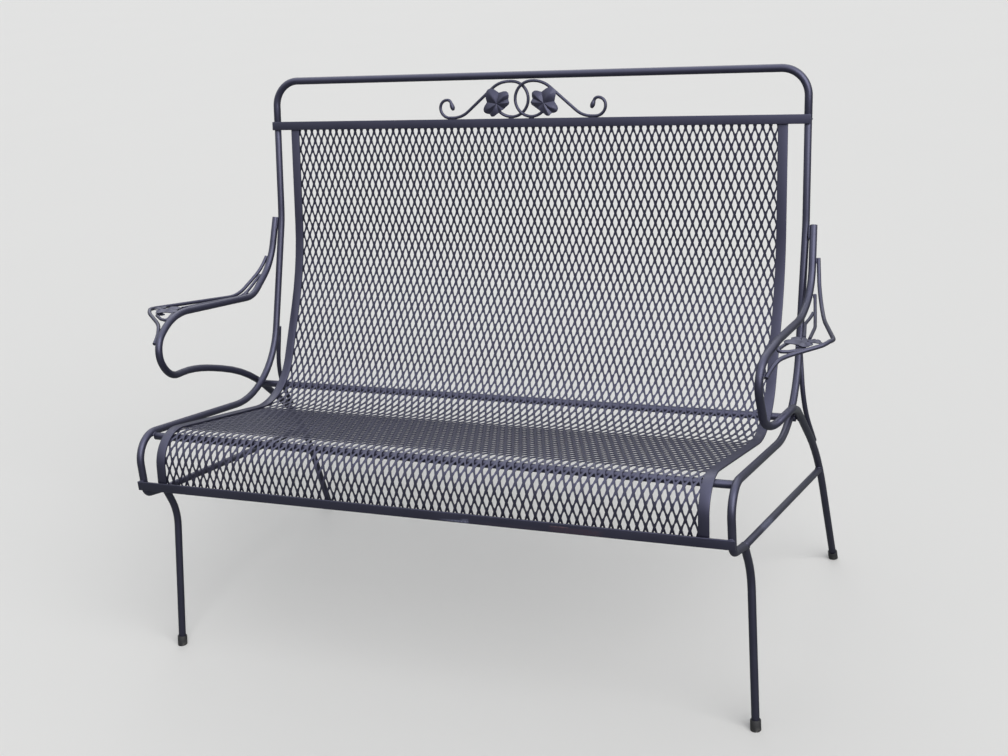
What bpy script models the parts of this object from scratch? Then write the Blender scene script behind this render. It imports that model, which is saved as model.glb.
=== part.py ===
"""Wrought-iron patio settee: bent round-bar frame, expanded-metal sling, leaf and scroll ornaments.

Metres, +Z up, feet on Z = 0, the sitter faces -Y. Side-view points are (depth, height): the depth is
measured back from the front face line of the seat and moved to the middle of the settee at the end.
"""

import math

import bmesh
import bpy
from mathutils import Matrix, Vector

# Clearance that touching pieces keep
SEAM = 0.0003

# Stock sizes
BAR_D = 0.012
HOOP_D = 0.0127
BRACE_D = 0.008
STRETCHER_D = 0.011
FLAT_BAR_H = 0.015
FLAT_BAR_T = 0.003
FLAT_BAR_EDGE = 0.0006
STRAP_W = 0.016
STRAP_T = 0.003
MESH_T = 0.0015
VINE_D = 0.0064
SCROLL_D = 0.0048
LEAF_T = 0.0012

# Widths: half of the sling, out to the middle of each strap under its edge, and on to the rail
SLING_HALF_W = 0.4445
STRAP_OVERHANG = 0.0012
STRAP_TO_RAIL = 0.0388
FOOT_SPLAY_FRONT = 0.011
KNEE_SPLAY = 0.003

# Side rail and front leg, one bar: (depth, height) of each bend, then its radius
BACK_TOP = (0.556, 0.7878)
LUMBAR = (0.5235, 0.623)
LUMBAR_R = 0.210
SEAT_BACK = (0.4074, 0.3215)
SEAT_BACK_R = 0.146
FRONT_ROLL = (0.0045, 0.403)
FRONT_ROLL_R = 0.043
JOG = (0.0032, 0.3035)
JOG_R = 0.016
KNEE = (0.056, 0.289)
KNEE_R = 0.012
LEG_BOW = (0.080, 0.236)
LEG_BOW_R = 0.090
FRONT_FOOT = 0.0395

# Arm and rear leg, one bar
ARM_TOP_H = 0.625
ARM_LEAVES_BACK = (0.4908, 0.5428)
ARM_LEAVES_BACK_R = 0.108
ARM_REST_REAR = (0.409, 0.5055)
ARM_REST_REAR_R = 0.036
ARM_REST_FRONT = (0.203, 0.5468)
ARM_REST_FRONT_R = 0.180
ARM_CURL_TOP = (0.098, 0.5300)
ARM_CURL_TOP_R = 0.040
ARM_CURL_FOOT = (0.1400, 0.4390)
ARM_CURL_FOOT_R = 0.034
ARM_RETURN = (0.2000, 0.4410)
ARM_RETURN_R = 0.110
ARM_CROSSING = (0.3551, 0.3838)
ARM_CROSSING_R = 0.168
REAR_HOCK = (0.5101, 0.2338)
REAR_HOCK_R = 0.290
REAR_FOOT = 0.5863
# How far each of those points stands out from the line that touches the rail, top and foot included
ARM_SPLAY = (0, 0.004, 0.0025, 0.0105, 0.001, 0.004, 0.0320, -0.0005, 0.003, 0.012)

# Sling of expanded metal: bends of its middle surface between the two flat bars, and how far it
# laps past the middle of each
SLING_LUMBAR = (0.5073, 0.540)
SLING_LUMBAR_R = 0.456
SLING_SEAT_BACK = (0.3795, 0.3162)
SLING_SEAT_BACK_R = 0.111
SLING_ROLL = (0.0140, 0.4080)
SLING_ROLL_R = 0.050
SLING_COLUMNS = 14
SLING_ROWS = 7
SLING_STRAND_W = 0.007
SLING_LAP = 0.00375
FRONT_BAR_H = 0.3205

# Crossbars, by the depth of the sling where they carry it
FRONT_CROSSBAR_DEPTH = 0.0446
REAR_CROSSBAR_DEPTH = 0.386

# Gusset brace behind each upright, and the stretcher between the legs
BRACE_TOP_H = 0.437
BRACE_WAIST_H = 0.3425
BRACE_WAIST_R = 0.120
BRACE_FOOT_H = 0.2615
STRETCHER_REAR_H = 0.203

# Hoop above the top flat bar, measured along the leaning back
HOOP_RISE = 0.0796
HOOP_CORNER_R = 0.044

# Crest scroll, seen square to the back: a ring, an opening arc, a diagonal and a hooked end
RING_R = 0.0295
RING_X = -0.0187
RING_START = 224
RING_TURN = 216
OPENING_R = 0.048
OPENING_TURN = 50
DIAGONAL = 0.0626
HOOK_FOOT_R = 0.032
HOOK_FOOT_RUN = 0.011
HOOK_OUTER_R = 0.0175
HOOK_TOP_R = 0.013
HOOK_TIP_R = 0.0075
HOOK_TIP_TURN = 110
RING_STEP_START = -0.040
RING_STEP_END = -0.016

# Ivy leaf: (angle from the main lobe, share of its length), and how far the notches fold back
LEAF_OUTLINE = ((0, 1.0), (18, 0.80), (45, 0.53), (62, 0.74), (80, 0.88), (98, 0.64), (116, 0.68),
                (134, 0.48), (172, 0.36))
LEAF_NOTCHES = (45, 98, 134)
LEAF_FOLD = 0.07
LEAF_SEAT = 0.015
ARM_LEAF_SEAT = 0.028
CREST_LEAF_R = 0.033
CREST_LEAF_CENTRE = (-0.0428, 0.0322)
CREST_LEAF_TURN = 125
ARM_LEAF_R = 0.0225
ARM_LEAF_CENTRE = (0.057, 0.214)
ARM_LEAF_TURN = -150
ARM_BUD_R = 0.0135
ARM_BUD_CENTRE = (0.0716, 0.2212)
ARM_BUD_TURN = -25

# Arm ornament in plan: (distance outside the rail's centre line, depth). It lies at the arm's height;
# the parts inside the vine fall away outward from the bar
VINE_REAR = 0.500
VINE_SWING = (0.0292, 0.476)
VINE_SWING_R = 0.060
VINE_CORNER = (0.1016, 0.2165)
VINE_CORNER_R = 0.040
VINE_RETURN = (0.0291, 0.156)
VINE_RETURN_R = 0.088
VINE_RETURN_H = 0.532
VINE_FOOT_H = 0.516
STEM_START = (0.0277, 0.462)
STEM_BEND = (0.047, 0.350)
STEM_END = (0.0575, 0.258)
STEM_R = 0.300
TWIG_START = (0.0300, 0.420)
TWIG_BEND = (0.0275, 0.372)
TWIG_END = (0.0490, 0.262)
TWIG_R = 0.120
SCROLL_START = (0.0500, 0.243)
SCROLL_NECK = (0.0385, 0.212)
SCROLL_NECK_R = 0.020
SCROLL_NOSE = (0.0275, 0.1715)
SCROLL_NOSE_R = 0.0065
SCROLL_TURN = (0.0440, 0.1772)
SCROLL_TURN_R = 0.010
SCROLL_BACK = (0.0790, 0.2052)
SCROLL_BACK_R = 0.006
SCROLL_TIP = (0.0500, 0.1965)
ORNAMENT_FALL = 0.13

# Push-on foot glides
GLIDE_D = 0.016
GLIDE_H = 0.016
GLIDE_SOLE = 0.006

# Facets: turn of a bend between two rings of points, and the sides of round bars
BEND_STEP = math.radians(11)
BAR_SIDES_RES = 3
ROD_SIDES_RES = 1
ROD_POINT_GAP = 0.030

STRAP_X = SLING_HALF_W + STRAP_OVERHANG
RAIL_X = STRAP_X + STRAP_TO_RAIL
ARM_X = RAIL_X + BAR_D + SEAM
FLAT_BAR_REACH = HOOP_D / 2 + SEAM + FLAT_BAR_T / 2
FRONT_FACE = JOG[0] - BAR_D / 2 - SEAM - FLAT_BAR_T


def lerp(a, b, share):
    return a + (b - a) * share


def bend(points, radii, step=BEND_STEP):
    """The centre line of a bar bent at each inner point with its radius, as closely spaced points."""
    points = [Vector(p) for p in points]
    line = [points[0]]
    for i in range(1, len(points) - 1):
        back = points[i - 1] - points[i]
        ahead = points[i + 1] - points[i]
        back_len, ahead_len = back.length, ahead.length
        back.normalize()
        ahead.normalize()
        opening = back.angle(ahead)
        turn = math.pi - opening
        back_room = 0.95 * back_len if i == 1 else 0.5 * back_len
        ahead_room = 0.95 * ahead_len if i == len(points) - 2 else 0.5 * ahead_len
        run = min(radii[i - 1] / math.tan(opening / 2), back_room, ahead_room)
        radius = run * math.tan(opening / 2)
        centre = points[i] + (back + ahead).normalized() * (radius / math.sin(opening / 2))
        start = points[i] + back * run - centre
        end = points[i] + ahead * run - centre
        count = max(1, round(turn / step))
        for k in range(count + 1):
            share = k / count
            mixed = start * math.sin((1 - share) * turn) + end * math.sin(share * turn)
            line.append(centre + mixed / math.sin(turn))
    line.append(points[-1])
    return line


def at_depth(line, depth):
    """The point of a front-to-back line at a depth, and the line's direction there."""
    for a, b in zip(line, line[1:]):
        if min(a.y, b.y) <= depth <= max(a.y, b.y) and a.y != b.y:
            return lerp(a, b, (depth - a.y) / (b.y - a.y)), (b - a).normalized()
    raise ValueError("the line does not reach this depth")


def at_height(line, height):
    """The point of a line at a height, and the line's direction there."""
    for a, b in zip(line, line[1:]):
        if min(a.z, b.z) <= height <= max(a.z, b.z) and a.z != b.z:
            return lerp(a, b, (height - a.z) / (b.z - a.z)), (b - a).normalized()
    raise ValueError("the line does not reach this height")


def side_line(x, points):
    return [Vector((x, depth, height)) for depth, height in points]


def shift_line(line, distance):
    """A side-view line moved square to itself, to its sitter's side where the distance is positive."""
    moved = []
    for i, point in enumerate(line):
        before = line[max(i - 1, 0)]
        after = line[min(i + 1, len(line) - 1)]
        ways = [w.normalized() for w in (point - before, after - point) if w.length > 0]
        way = sum(ways, Vector()).normalized()
        half = ways[0].angle(ways[-1]) / 2
        normal = Vector((0, way.z, -way.y))
        moved.append(point + normal * (distance / math.cos(half)))
    return moved


# Lines that the pieces share, on the right-hand side


def rail_line():
    lean = (Vector(BACK_TOP) - Vector(LUMBAR)).normalized()
    top = Vector(BACK_TOP) - lean * SEAM
    points = side_line(RAIL_X, (top, LUMBAR, SEAT_BACK, FRONT_ROLL, JOG, KNEE, LEG_BOW,
                                (FRONT_FOOT, 0.0)))
    points[5].x += KNEE_SPLAY
    points[6].x += KNEE_SPLAY + FOOT_SPLAY_FRONT * (KNEE[1] - LEG_BOW[1]) / KNEE[1]
    points[7].x += KNEE_SPLAY + FOOT_SPLAY_FRONT
    return bend(points, (LUMBAR_R, SEAT_BACK_R, FRONT_ROLL_R, JOG_R, KNEE_R, LEG_BOW_R))


def arm_line():
    back = bend(side_line(0, (BACK_TOP, LUMBAR, SEAT_BACK, FRONT_ROLL)), (LUMBAR_R, SEAT_BACK_R))
    top = at_height(back, ARM_TOP_H)[0]
    points = side_line(ARM_X, ((top.y, top.z), ARM_LEAVES_BACK, ARM_REST_REAR, ARM_REST_FRONT,
                               ARM_CURL_TOP, ARM_CURL_FOOT, ARM_RETURN, ARM_CROSSING, REAR_HOCK,
                               (REAR_FOOT, 0.0)))
    for point, splay in zip(points, ARM_SPLAY):
        point.x += splay
    return bend(points, (ARM_LEAVES_BACK_R, ARM_REST_REAR_R, ARM_REST_FRONT_R, ARM_CURL_TOP_R,
                         ARM_CURL_FOOT_R, ARM_RETURN_R, ARM_CROSSING_R, REAR_HOCK_R))


def arm_halves():
    """The arm's line cut at the front of its curl, where its depth is least."""
    arm = arm_line()
    front = min(range(len(arm) // 2), key=lambda i: arm[i].y)
    return arm[:front + 1], arm[front:]


def back_frame():
    """The plane of the upper back: the bar's middle, the way up along it and the way to the sitter."""
    up = Vector((0, BACK_TOP[0] - LUMBAR[0], BACK_TOP[1] - LUMBAR[1])).normalized()
    front = Vector((0, -up.z, up.y))
    return Vector((0, BACK_TOP[0], BACK_TOP[1])), up, front


def sling_line():
    """The sling's middle surface from the top flat bar to the front one, in side view."""
    middle, up, front = back_frame()
    behind_bar = BAR_D / 2 - SEAM - STRAP_T - SEAM - MESH_T / 2
    top = middle + front * behind_bar + up * SLING_LAP
    foot_depth = FRONT_FACE + FLAT_BAR_T + SEAM + STRAP_T + SEAM + MESH_T / 2
    foot = (foot_depth, FRONT_BAR_H - SLING_LAP)
    points = side_line(0, ((top.y, top.z), SLING_LUMBAR, SLING_SEAT_BACK, SLING_ROLL, foot))
    return bend(points, (SLING_LUMBAR_R, SLING_SEAT_BACK_R, SLING_ROLL_R), 1.5 * BEND_STEP)


def carried_at(depth, distance):
    """The middle of a crossbar that lies under the sling at a depth."""
    point, way = at_depth(sling_line(), depth)
    under = Vector((0, -way.z, way.y))
    return point + under * distance


# Ways to make a piece


def link(obj, material):
    SETTEE.objects.link(obj)
    obj.data.materials.append(material)
    return obj


def rod(name, line, diameter, sides_res, material, side=1):
    """A round bar along a line, cut square at both ends."""
    curve = bpy.data.curves.new(name, "CURVE")
    curve.dimensions = "3D"
    curve.bevel_depth = diameter / 2
    curve.bevel_resolution = sides_res
    curve.use_fill_caps = True
    spline = curve.splines.new("POLY")
    spline.points.add(len(line) - 1)
    for point, place in zip(spline.points, line):
        point.co = (side * place.x, place.y - MID_DEPTH, place.z, 1)
    return link(bpy.data.objects.new(name, curve), material)


def mesh_object(name, bm, material, side=1):
    """A modelled right-hand piece, mirrored for the left and moved to the settee's middle."""
    bmesh.ops.transform(bm, matrix=MIDDLE @ Matrix.Diagonal((side, 1, 1, 1)), verts=bm.verts)
    if side < 0:
        bmesh.ops.reverse_faces(bm, faces=bm.faces)
    mesh = bpy.data.meshes.new(name)
    bm.to_mesh(mesh)
    bm.free()
    return link(bpy.data.objects.new(name, mesh), material)


def flat_bar(name, middle, up, front, material):
    """A flat bar across the settee, ending flush with the outer sides of the rails."""
    bm = bmesh.new()
    bmesh.ops.create_cube(bm, size=1)
    length = 2 * RAIL_X + BAR_D
    bmesh.ops.scale(bm, vec=(length, FLAT_BAR_T, FLAT_BAR_H), verts=bm.verts)
    across = up.cross(front)
    turn = Matrix((across, -front, up)).transposed().to_4x4()
    bmesh.ops.transform(bm, matrix=Matrix.Translation(middle) @ turn, verts=bm.verts)
    bmesh.ops.recalc_face_normals(bm, faces=bm.faces)
    bar = mesh_object(name, bm, material)
    edge = bar.modifiers.new("rolled edges", "BEVEL")
    edge.width = FLAT_BAR_EDGE
    edge.segments = 1
    return bar


def strip(name, line, x, width, thickness, material, side):
    """A flat strap laid along a side-view line."""
    bm = bmesh.new()
    verts = [bm.verts.new((x - width / 2, p.y, p.z)) for p in line]
    edges = [bm.edges.new(pair) for pair in zip(verts, verts[1:])]
    swept = bmesh.ops.extrude_edge_only(bm, edges=edges)["geom"]
    moved = [v for v in swept if isinstance(v, bmesh.types.BMVert)]
    bmesh.ops.translate(bm, vec=(width, 0, 0), verts=moved)
    strap = mesh_object(name, bm, material, side)
    wall = strap.modifiers.new("thickness", "SOLIDIFY")
    wall.thickness = thickness
    wall.offset = 0
    wall.use_even_offset = True
    return strap


def straight_bar(name, start, end, diameter, material, sides=12):
    """A straight round bar from a cylinder, between two points of the settee's own frame."""
    way = end - start
    bpy.ops.mesh.primitive_cylinder_add(vertices=sides, radius=diameter / 2, depth=way.length)
    bar = bpy.context.object
    bar.name = name
    bar.data.name = name
    turn = way.to_track_quat("Z", "Y").to_matrix().to_4x4()
    bar.matrix_world = Matrix.Translation((start + end) / 2) @ turn
    for owner in bar.users_collection:
        owner.objects.unlink(bar)
    return link(bar, material)


def as_cutter(obj):
    SETTEE.objects.unlink(obj)
    CUTTERS.objects.link(obj)
    obj.hide_render = True
    obj.display_type = "WIRE"
    return obj


def cut(obj, cutter):
    taken = obj.modifiers.new(cutter.name, "BOOLEAN")
    taken.operation = "DIFFERENCE"
    taken.solver = "EXACT"
    taken.object = cutter


def placed(point, side):
    """A point of the right-hand side in the settee's own frame."""
    return Vector((side * point.x, point.y - MID_DEPTH, point.z))


# Pieces of the frame


def make_side_rails(paint):
    for word, side in SIDES:
        line = rail_line()
        foot, way = at_height(line, GLIDE_SOLE)
        line = [p for p in line if p.z > GLIDE_SOLE] + [foot - way * SEAM]
        rod("side_rail_" + word, line, BAR_D, BAR_SIDES_RES, paint, side)


def make_arms(paint):
    for word, side in SIDES:
        line = arm_line()
        foot, way = at_height(line, GLIDE_SOLE)
        line = [p for p in line if p.z > GLIDE_SOLE] + [foot - way * SEAM]
        rod("arm_rear_leg_" + word, line, BAR_D, BAR_SIDES_RES, paint, side)


def make_hoop(paint):
    middle, up, _ = back_frame()
    foot = middle + up * SEAM
    top = middle + up * HOOP_RISE
    right = Vector((RAIL_X, 0, 0))
    line = bend((foot - right, top - right, top + right, foot + right), (HOOP_CORNER_R, HOOP_CORNER_R))
    rod("back_hoop", line, HOOP_D, BAR_SIDES_RES, paint)


def make_flat_bars(paint):
    middle, up, front = back_frame()
    flat_bar("top_flat_bar", middle + front * FLAT_BAR_REACH, up, front, paint)
    seat_bar = Vector((0, FRONT_FACE + FLAT_BAR_T / 2, FRONT_BAR_H))
    flat_bar("front_flat_bar", seat_bar, Vector((0, 0, 1)), Vector((0, -1, 0)), paint)


def make_crossbars(paint):
    under = BAR_D / 2 + SEAM + MESH_T / 2
    front = carried_at(FRONT_CROSSBAR_DEPTH, under)
    rear = carried_at(REAR_CROSSBAR_DEPTH, under)
    reach = {"front_crossbar": (front, RAIL_X - BAR_D / 2 - SEAM),
             "rear_crossbar": (rear, ARM_X - BAR_D / 2 - SEAM)}
    for name, (middle, half) in reach.items():
        end = Vector((half, 0, 0))
        straight_bar(name, placed(middle - end, 1), placed(middle + end, 1), BAR_D, paint)


def make_braces(paint):
    """Each runs down behind the upright, then bends back to rest on the rear of the leg."""
    up = back_frame()[1]
    rail, way = at_height(rail_line(), BRACE_TOP_H)
    leg, leg_way = at_height(arm_halves()[1], BRACE_FOOT_H)
    touch = BAR_D / 2 + BRACE_D / 2 + SEAM
    top = rail + Vector((0, -way.z, way.y)) * touch
    foot = leg + Vector((0, -leg_way.z, leg_way.y)).normalized() * touch
    waist = top - up * ((top.z - BRACE_WAIST_H) / up.z)
    waist.x = (top.x + foot.x) / 2
    line = bend((top, waist, foot), (BRACE_WAIST_R,))
    for word, side in SIDES:
        rod("rear_brace_" + word, line, BRACE_D, 2, paint, side)


def make_stretchers(paint):
    """Each runs on from the knee of the front leg to the rear leg, coped to both."""
    knee = Vector((RAIL_X + KNEE_SPLAY, *KNEE))
    down = (Vector((0, *LEG_BOW)) - Vector((0, *KNEE))).normalized() * 2 * BAR_D
    leg = arm_halves()[1]
    hock = at_height(leg, STRETCHER_REAR_H)[0]
    met = [(knee - down, knee + down)]
    met += [(a, b) for a, b in zip(leg, leg[1:]) if b.z < hock.z + BAR_D and a.z > hock.z - BAR_D]
    for word, side in SIDES:
        bar = straight_bar("side_stretcher_" + word, placed(knee, side), placed(hock, side),
                           STRETCHER_D, paint)
        for i, (start, end) in enumerate(met):
            past = (end - start).normalized() * BAR_D / 4
            tool = straight_bar(f"cope_{i}_{word}", placed(start - past, side),
                                placed(end + past, side), BAR_D + 3 * SEAM, paint, 16)
            cut(bar, as_cutter(tool))


def make_straps(paint):
    line = shift_line(sling_line(), STRAP_T / 2 + SEAM + MESH_T / 2)
    for word, side in SIDES:
        strip("mesh_strap_" + word, line, STRAP_X, STRAP_W, STRAP_T, paint, side)


def make_sling(paint):
    """Expanded metal: a grid turned 45 degrees and stretched to diamonds, opened, then bent."""
    line = sling_line()
    marks = [0.0]
    for a, b in zip(line, line[1:]):
        marks.append(marks[-1] + (b - a).length)
    pitch = 2 * SLING_HALF_W / SLING_COLUMNS
    row = marks[-1] / SLING_ROWS
    bm = bmesh.new()
    count = SLING_COLUMNS + SLING_ROWS + 2
    bmesh.ops.create_grid(bm, x_segments=count, y_segments=count, size=count / 2)
    turn = Matrix.Rotation(math.radians(45), 4, "Z")
    bmesh.ops.transform(bm, matrix=turn, verts=bm.verts)
    stretch = (pitch / math.sqrt(2), row / math.sqrt(2), 1)
    bmesh.ops.scale(bm, vec=stretch, verts=bm.verts)
    bmesh.ops.translate(bm, vec=(0, marks[-1] / 2, 0), verts=bm.verts)
    sheet_edges = (((SLING_HALF_W, 0, 0), (1, 0, 0)), ((-SLING_HALF_W, 0, 0), (-1, 0, 0)),
                   ((0, marks[-1], 0), (0, 1, 0)), ((0, 0, 0), (0, -1, 0)))
    for place, way in sheet_edges:
        whole = bm.verts[:] + bm.edges[:] + bm.faces[:]
        bmesh.ops.bisect_plane(bm, geom=whole, dist=1e-6, plane_co=place, plane_no=way,
                               clear_outer=True)
    diamonds = bm.faces[:]
    bmesh.ops.inset_individual(bm, faces=diamonds, thickness=SLING_STRAND_W / 2,
                               use_even_offset=True)
    bmesh.ops.delete(bm, geom=diamonds, context="FACES")
    for mark in marks[1:-1]:
        whole = bm.verts[:] + bm.edges[:] + bm.faces[:]
        bmesh.ops.bisect_plane(bm, geom=whole, dist=1e-6, plane_co=(0, mark, 0), plane_no=(0, 1, 0))
    for vert in bm.verts:
        along = vert.co.y
        k = max(i for i, mark in enumerate(marks[:-1]) if mark <= along + 1e-6)
        place = lerp(line[k], line[k + 1], (along - marks[k]) / (marks[k + 1] - marks[k]))
        vert.co = (vert.co.x, place.y, place.z)
    bmesh.ops.recalc_face_normals(bm, faces=bm.faces)
    sling = mesh_object("sling_mesh", bm, paint)
    wall = sling.modifiers.new("sheet", "SOLIDIFY")
    wall.thickness = MESH_T
    wall.offset = 0
    wall.use_even_offset = True


# Ornaments


def trace(start, heading, moves):
    """A flat line drawn by straight runs and arcs: (length, 0) or (radius, turn in degrees)."""
    line = [Vector(start)]
    for size, turn in moves:
        if turn == 0:
            way = Vector((math.cos(heading), math.sin(heading)))
            line.append(line[-1] + way * size)
            continue
        left = math.copysign(1, turn)
        centre = line[-1] + Vector((-math.sin(heading), math.cos(heading))) * size * left
        arm = line[-1] - centre
        count = max(2, round(abs(math.radians(turn)) / (2 * BEND_STEP)))
        for k in range(1, count + 1):
            angle = math.radians(turn) * k / count
            line.append(centre + Matrix.Rotation(angle, 2) @ arm)
        heading += math.radians(turn)
    return line


def crest_scroll_line(step_back):
    """The left scroll; where it meets the other one's ring it steps back by step_back."""
    middle, up, front = back_frame()
    angle = math.radians(RING_START)
    ring_rise = FLAT_BAR_H / 2 + SEAM + SCROLL_D / 2 + RING_R
    start = Vector((RING_X, ring_rise)) + RING_R * Vector((math.cos(angle), math.sin(angle)))
    moves = ((RING_R, RING_TURN), (OPENING_R, OPENING_TURN), (DIAGONAL, 0),
             (HOOK_FOOT_R, -(RING_START + 90 + RING_TURN + OPENING_TURN - 540)), (HOOK_FOOT_RUN, 0),
             (HOOK_OUTER_R, -90), (HOOK_TOP_R, -90), (HOOK_TIP_R, -HOOK_TIP_TURN))
    line = []
    for x, rise in trace(start, angle + math.pi / 2, moves):
        share = min(max((x - RING_STEP_START) / (RING_STEP_END - RING_STEP_START), 0), 1)
        smooth = share * share * (3 - 2 * share)
        place = middle + up * rise + front * (FLAT_BAR_REACH - step_back * smooth)
        line.append(Vector((x, place.y, place.z)))
    return line


def make_crest_scrolls(paint):
    step = {"left": SCROLL_D + SEAM, "right": 0.0}
    for word, side in SIDES:
        line = crest_scroll_line(step[word])
        rod("crest_scroll_" + word, line, SCROLL_D, ROD_SIDES_RES, paint, -side)


def leaf(name, radius, matrix, paint, side):
    """An ivy leaf from a disc: its rim drawn out to five lobes and folded back at the notches."""
    rim = [(angle, share) for angle, share in LEAF_OUTLINE]
    rim += [(360 - angle, share) for angle, share in reversed(LEAF_OUTLINE[1:])]
    bm = bmesh.new()
    made = bmesh.ops.create_circle(bm, cap_ends=True, cap_tris=True, radius=1, segments=len(rim))
    edge_verts = [v for v in made["verts"] if v.co.length > 0.5]
    edge_verts.sort(key=lambda v: math.atan2(v.co.y, v.co.x) % (2 * math.pi))
    for vert, (angle, share) in zip(edge_verts, rim):
        fold = -LEAF_FOLD * radius if min(angle, 360 - angle) in LEAF_NOTCHES else 0.0
        reach = radius * share
        vert.co = (reach * math.cos(math.radians(angle)), reach * math.sin(math.radians(angle)), fold)
    bmesh.ops.transform(bm, matrix=matrix, verts=bm.verts)
    piece = mesh_object(name, bm, paint, side)
    wall = piece.modifiers.new("sheet", "SOLIDIFY")
    wall.thickness = LEAF_T
    wall.offset = 0
    return piece


def make_crest_leaves(paint):
    middle, up, front = back_frame()
    x, rise = CREST_LEAF_CENTRE
    lift = FLAT_BAR_REACH + SCROLL_D / 2 + SEAM + LEAF_T / 2 + LEAF_SEAT * CREST_LEAF_R
    place = middle + up * rise + front * lift + Vector((x, 0, 0))
    across = Vector((1, 0, 0))
    frame = Matrix((across, up, front)).transposed().to_4x4()
    turn = Matrix.Rotation(math.radians(CREST_LEAF_TURN), 4, "Z")
    for word, side in SIDES:
        leaf("crest_leaf_" + word, CREST_LEAF_R, Matrix.Translation(place) @ frame @ turn, paint, -side)


def on_arm(points, arm, fall=ORNAMENT_FALL):
    """Plan points of the arm ornament at the arm's height there, lower by the fall for each metre out."""
    beside = ARM_X - RAIL_X + BAR_D / 2
    line = []
    for out, depth in points:
        height = at_depth(arm, depth)[0].z - fall * max(out - beside, 0)
        line.append(Vector((RAIL_X + out, depth, height)))
    return line


def plan_bend(points, radii):
    flat = bend([Vector((out, depth, 0)) for out, depth in points], radii, 2 * BEND_STEP)
    fine = [flat[0]]
    for a, b in zip(flat, flat[1:]):
        parts = max(1, math.ceil((b - a).length / ROD_POINT_GAP))
        fine += [lerp(a, b, k / parts) for k in range(1, parts + 1)]
    return [(p.x, p.y) for p in fine]


def make_arm_vines(paint):
    """The outer rod leaves the bar near its top, swings out, then runs in and down to the curl."""
    arm = arm_halves()[0]
    touch = BAR_D / 2 + VINE_D / 2 + SEAM
    ends = (at_depth(arm, VINE_REAR)[0], at_height(arm[::-1], VINE_FOOT_H)[0])
    start, foot = ((p.x - RAIL_X + touch, p.y) for p in ends)
    points = plan_bend((start, VINE_SWING, VINE_CORNER, VINE_RETURN, foot),
                       (VINE_SWING_R, VINE_CORNER_R, VINE_RETURN_R))
    line = on_arm(points, arm, 0)
    corner_height = at_depth(arm, VINE_CORNER[1])[0].z
    run_in = ((foot[1], VINE_FOOT_H), (VINE_RETURN[1], VINE_RETURN_H), (VINE_CORNER[1], corner_height))
    for point in line:
        for (near, low), (far, high) in zip(run_in, run_in[1:]):
            if near <= point.y < far:
                point.z = lerp(low, high, (point.y - near) / (far - near))
    for word, side in SIDES:
        rod("arm_vine_" + word, line, VINE_D, 2, paint, side)


def make_arm_stems(paint):
    arm = arm_halves()[0]
    stem = plan_bend((STEM_START, STEM_BEND, STEM_END), (STEM_R,))
    twig = plan_bend((TWIG_START, TWIG_BEND, TWIG_END), (TWIG_R,))
    for word, side in SIDES:
        rod("arm_stem_" + word, on_arm(stem, arm), SCROLL_D, ROD_SIDES_RES, paint, side)
        rod("arm_twig_" + word, on_arm(twig, arm), SCROLL_D, ROD_SIDES_RES, paint, side)


def make_arm_scrolls(paint):
    arm = arm_halves()[0]
    points = plan_bend((SCROLL_START, SCROLL_NECK, SCROLL_NOSE, SCROLL_TURN, SCROLL_BACK, SCROLL_TIP),
                       (SCROLL_NECK_R, SCROLL_NOSE_R, SCROLL_TURN_R, SCROLL_BACK_R))
    for word, side in SIDES:
        rod("arm_scroll_" + word, on_arm(points, arm), SCROLL_D, ROD_SIDES_RES, paint, side)


def make_arm_leaves(paint):
    arm = arm_halves()[0]
    leaves = (("arm_leaf_", ARM_LEAF_R, ARM_LEAF_CENTRE, ARM_LEAF_TURN),
              ("arm_bud_", ARM_BUD_R, ARM_BUD_CENTRE, ARM_BUD_TURN))
    lift = SCROLL_D / 2 - LEAF_T / 2
    for name, radius, (out, depth), turn in leaves:
        way = at_depth(arm, depth)[1]
        slope = math.atan2(way.z, way.y)
        lift += SEAM + LEAF_T + ARM_LEAF_SEAT * radius
        place = on_arm([(out, depth)], arm)[0] + Vector((0, 0, lift))
        lean = Matrix.Rotation(math.atan(ORNAMENT_FALL), 4, "Y")
        matrix = (Matrix.Translation(place) @ lean @ Matrix.Rotation(slope + math.pi, 4, "X")
                  @ Matrix.Rotation(math.radians(turn), 4, "Z"))
        for word, side in SIDES:
            leaf(name + word, radius, matrix, paint, side)


def make_glides(plastic):
    """Cups pushed on the ends of the legs, their soles cut level with the ground."""
    for place, line in (("front", rail_line()), ("rear", arm_line())):
        foot = line[-1]
        way = (line[-2] - foot).normalized()
        for word, side in SIDES:
            name = f"foot_glide_{place}_{word}"
            low = placed(foot - way * GLIDE_D, side)
            high = placed(foot + way * GLIDE_H, side)
            sole = placed(foot + way * GLIDE_SOLE, side)
            cup = straight_bar(name, low, high, GLIDE_D, plastic, 20)
            bore = straight_bar("bore_" + name, sole, high + (high - sole), BAR_D + 2 * SEAM, plastic, 20)
            cut(cup, as_cutter(bore))
            bpy.ops.mesh.primitive_cube_add(size=4 * GLIDE_D, location=(low.x, low.y, -2 * GLIDE_D))
            ground = bpy.context.object
            ground.name = "ground_" + name
            for owner in ground.users_collection:
                owner.objects.unlink(ground)
            SETTEE.objects.link(ground)
            cut(cup, as_cutter(ground))


def principled(name, colour, roughness, metallic):
    material = bpy.data.materials.new(name)
    material.use_nodes = True
    shader = material.node_tree.nodes["Principled BSDF"]
    shader.inputs["Base Color"].default_value = (*colour, 1)
    shader.inputs["Roughness"].default_value = roughness
    shader.inputs["Metallic"].default_value = metallic
    return material


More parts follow.
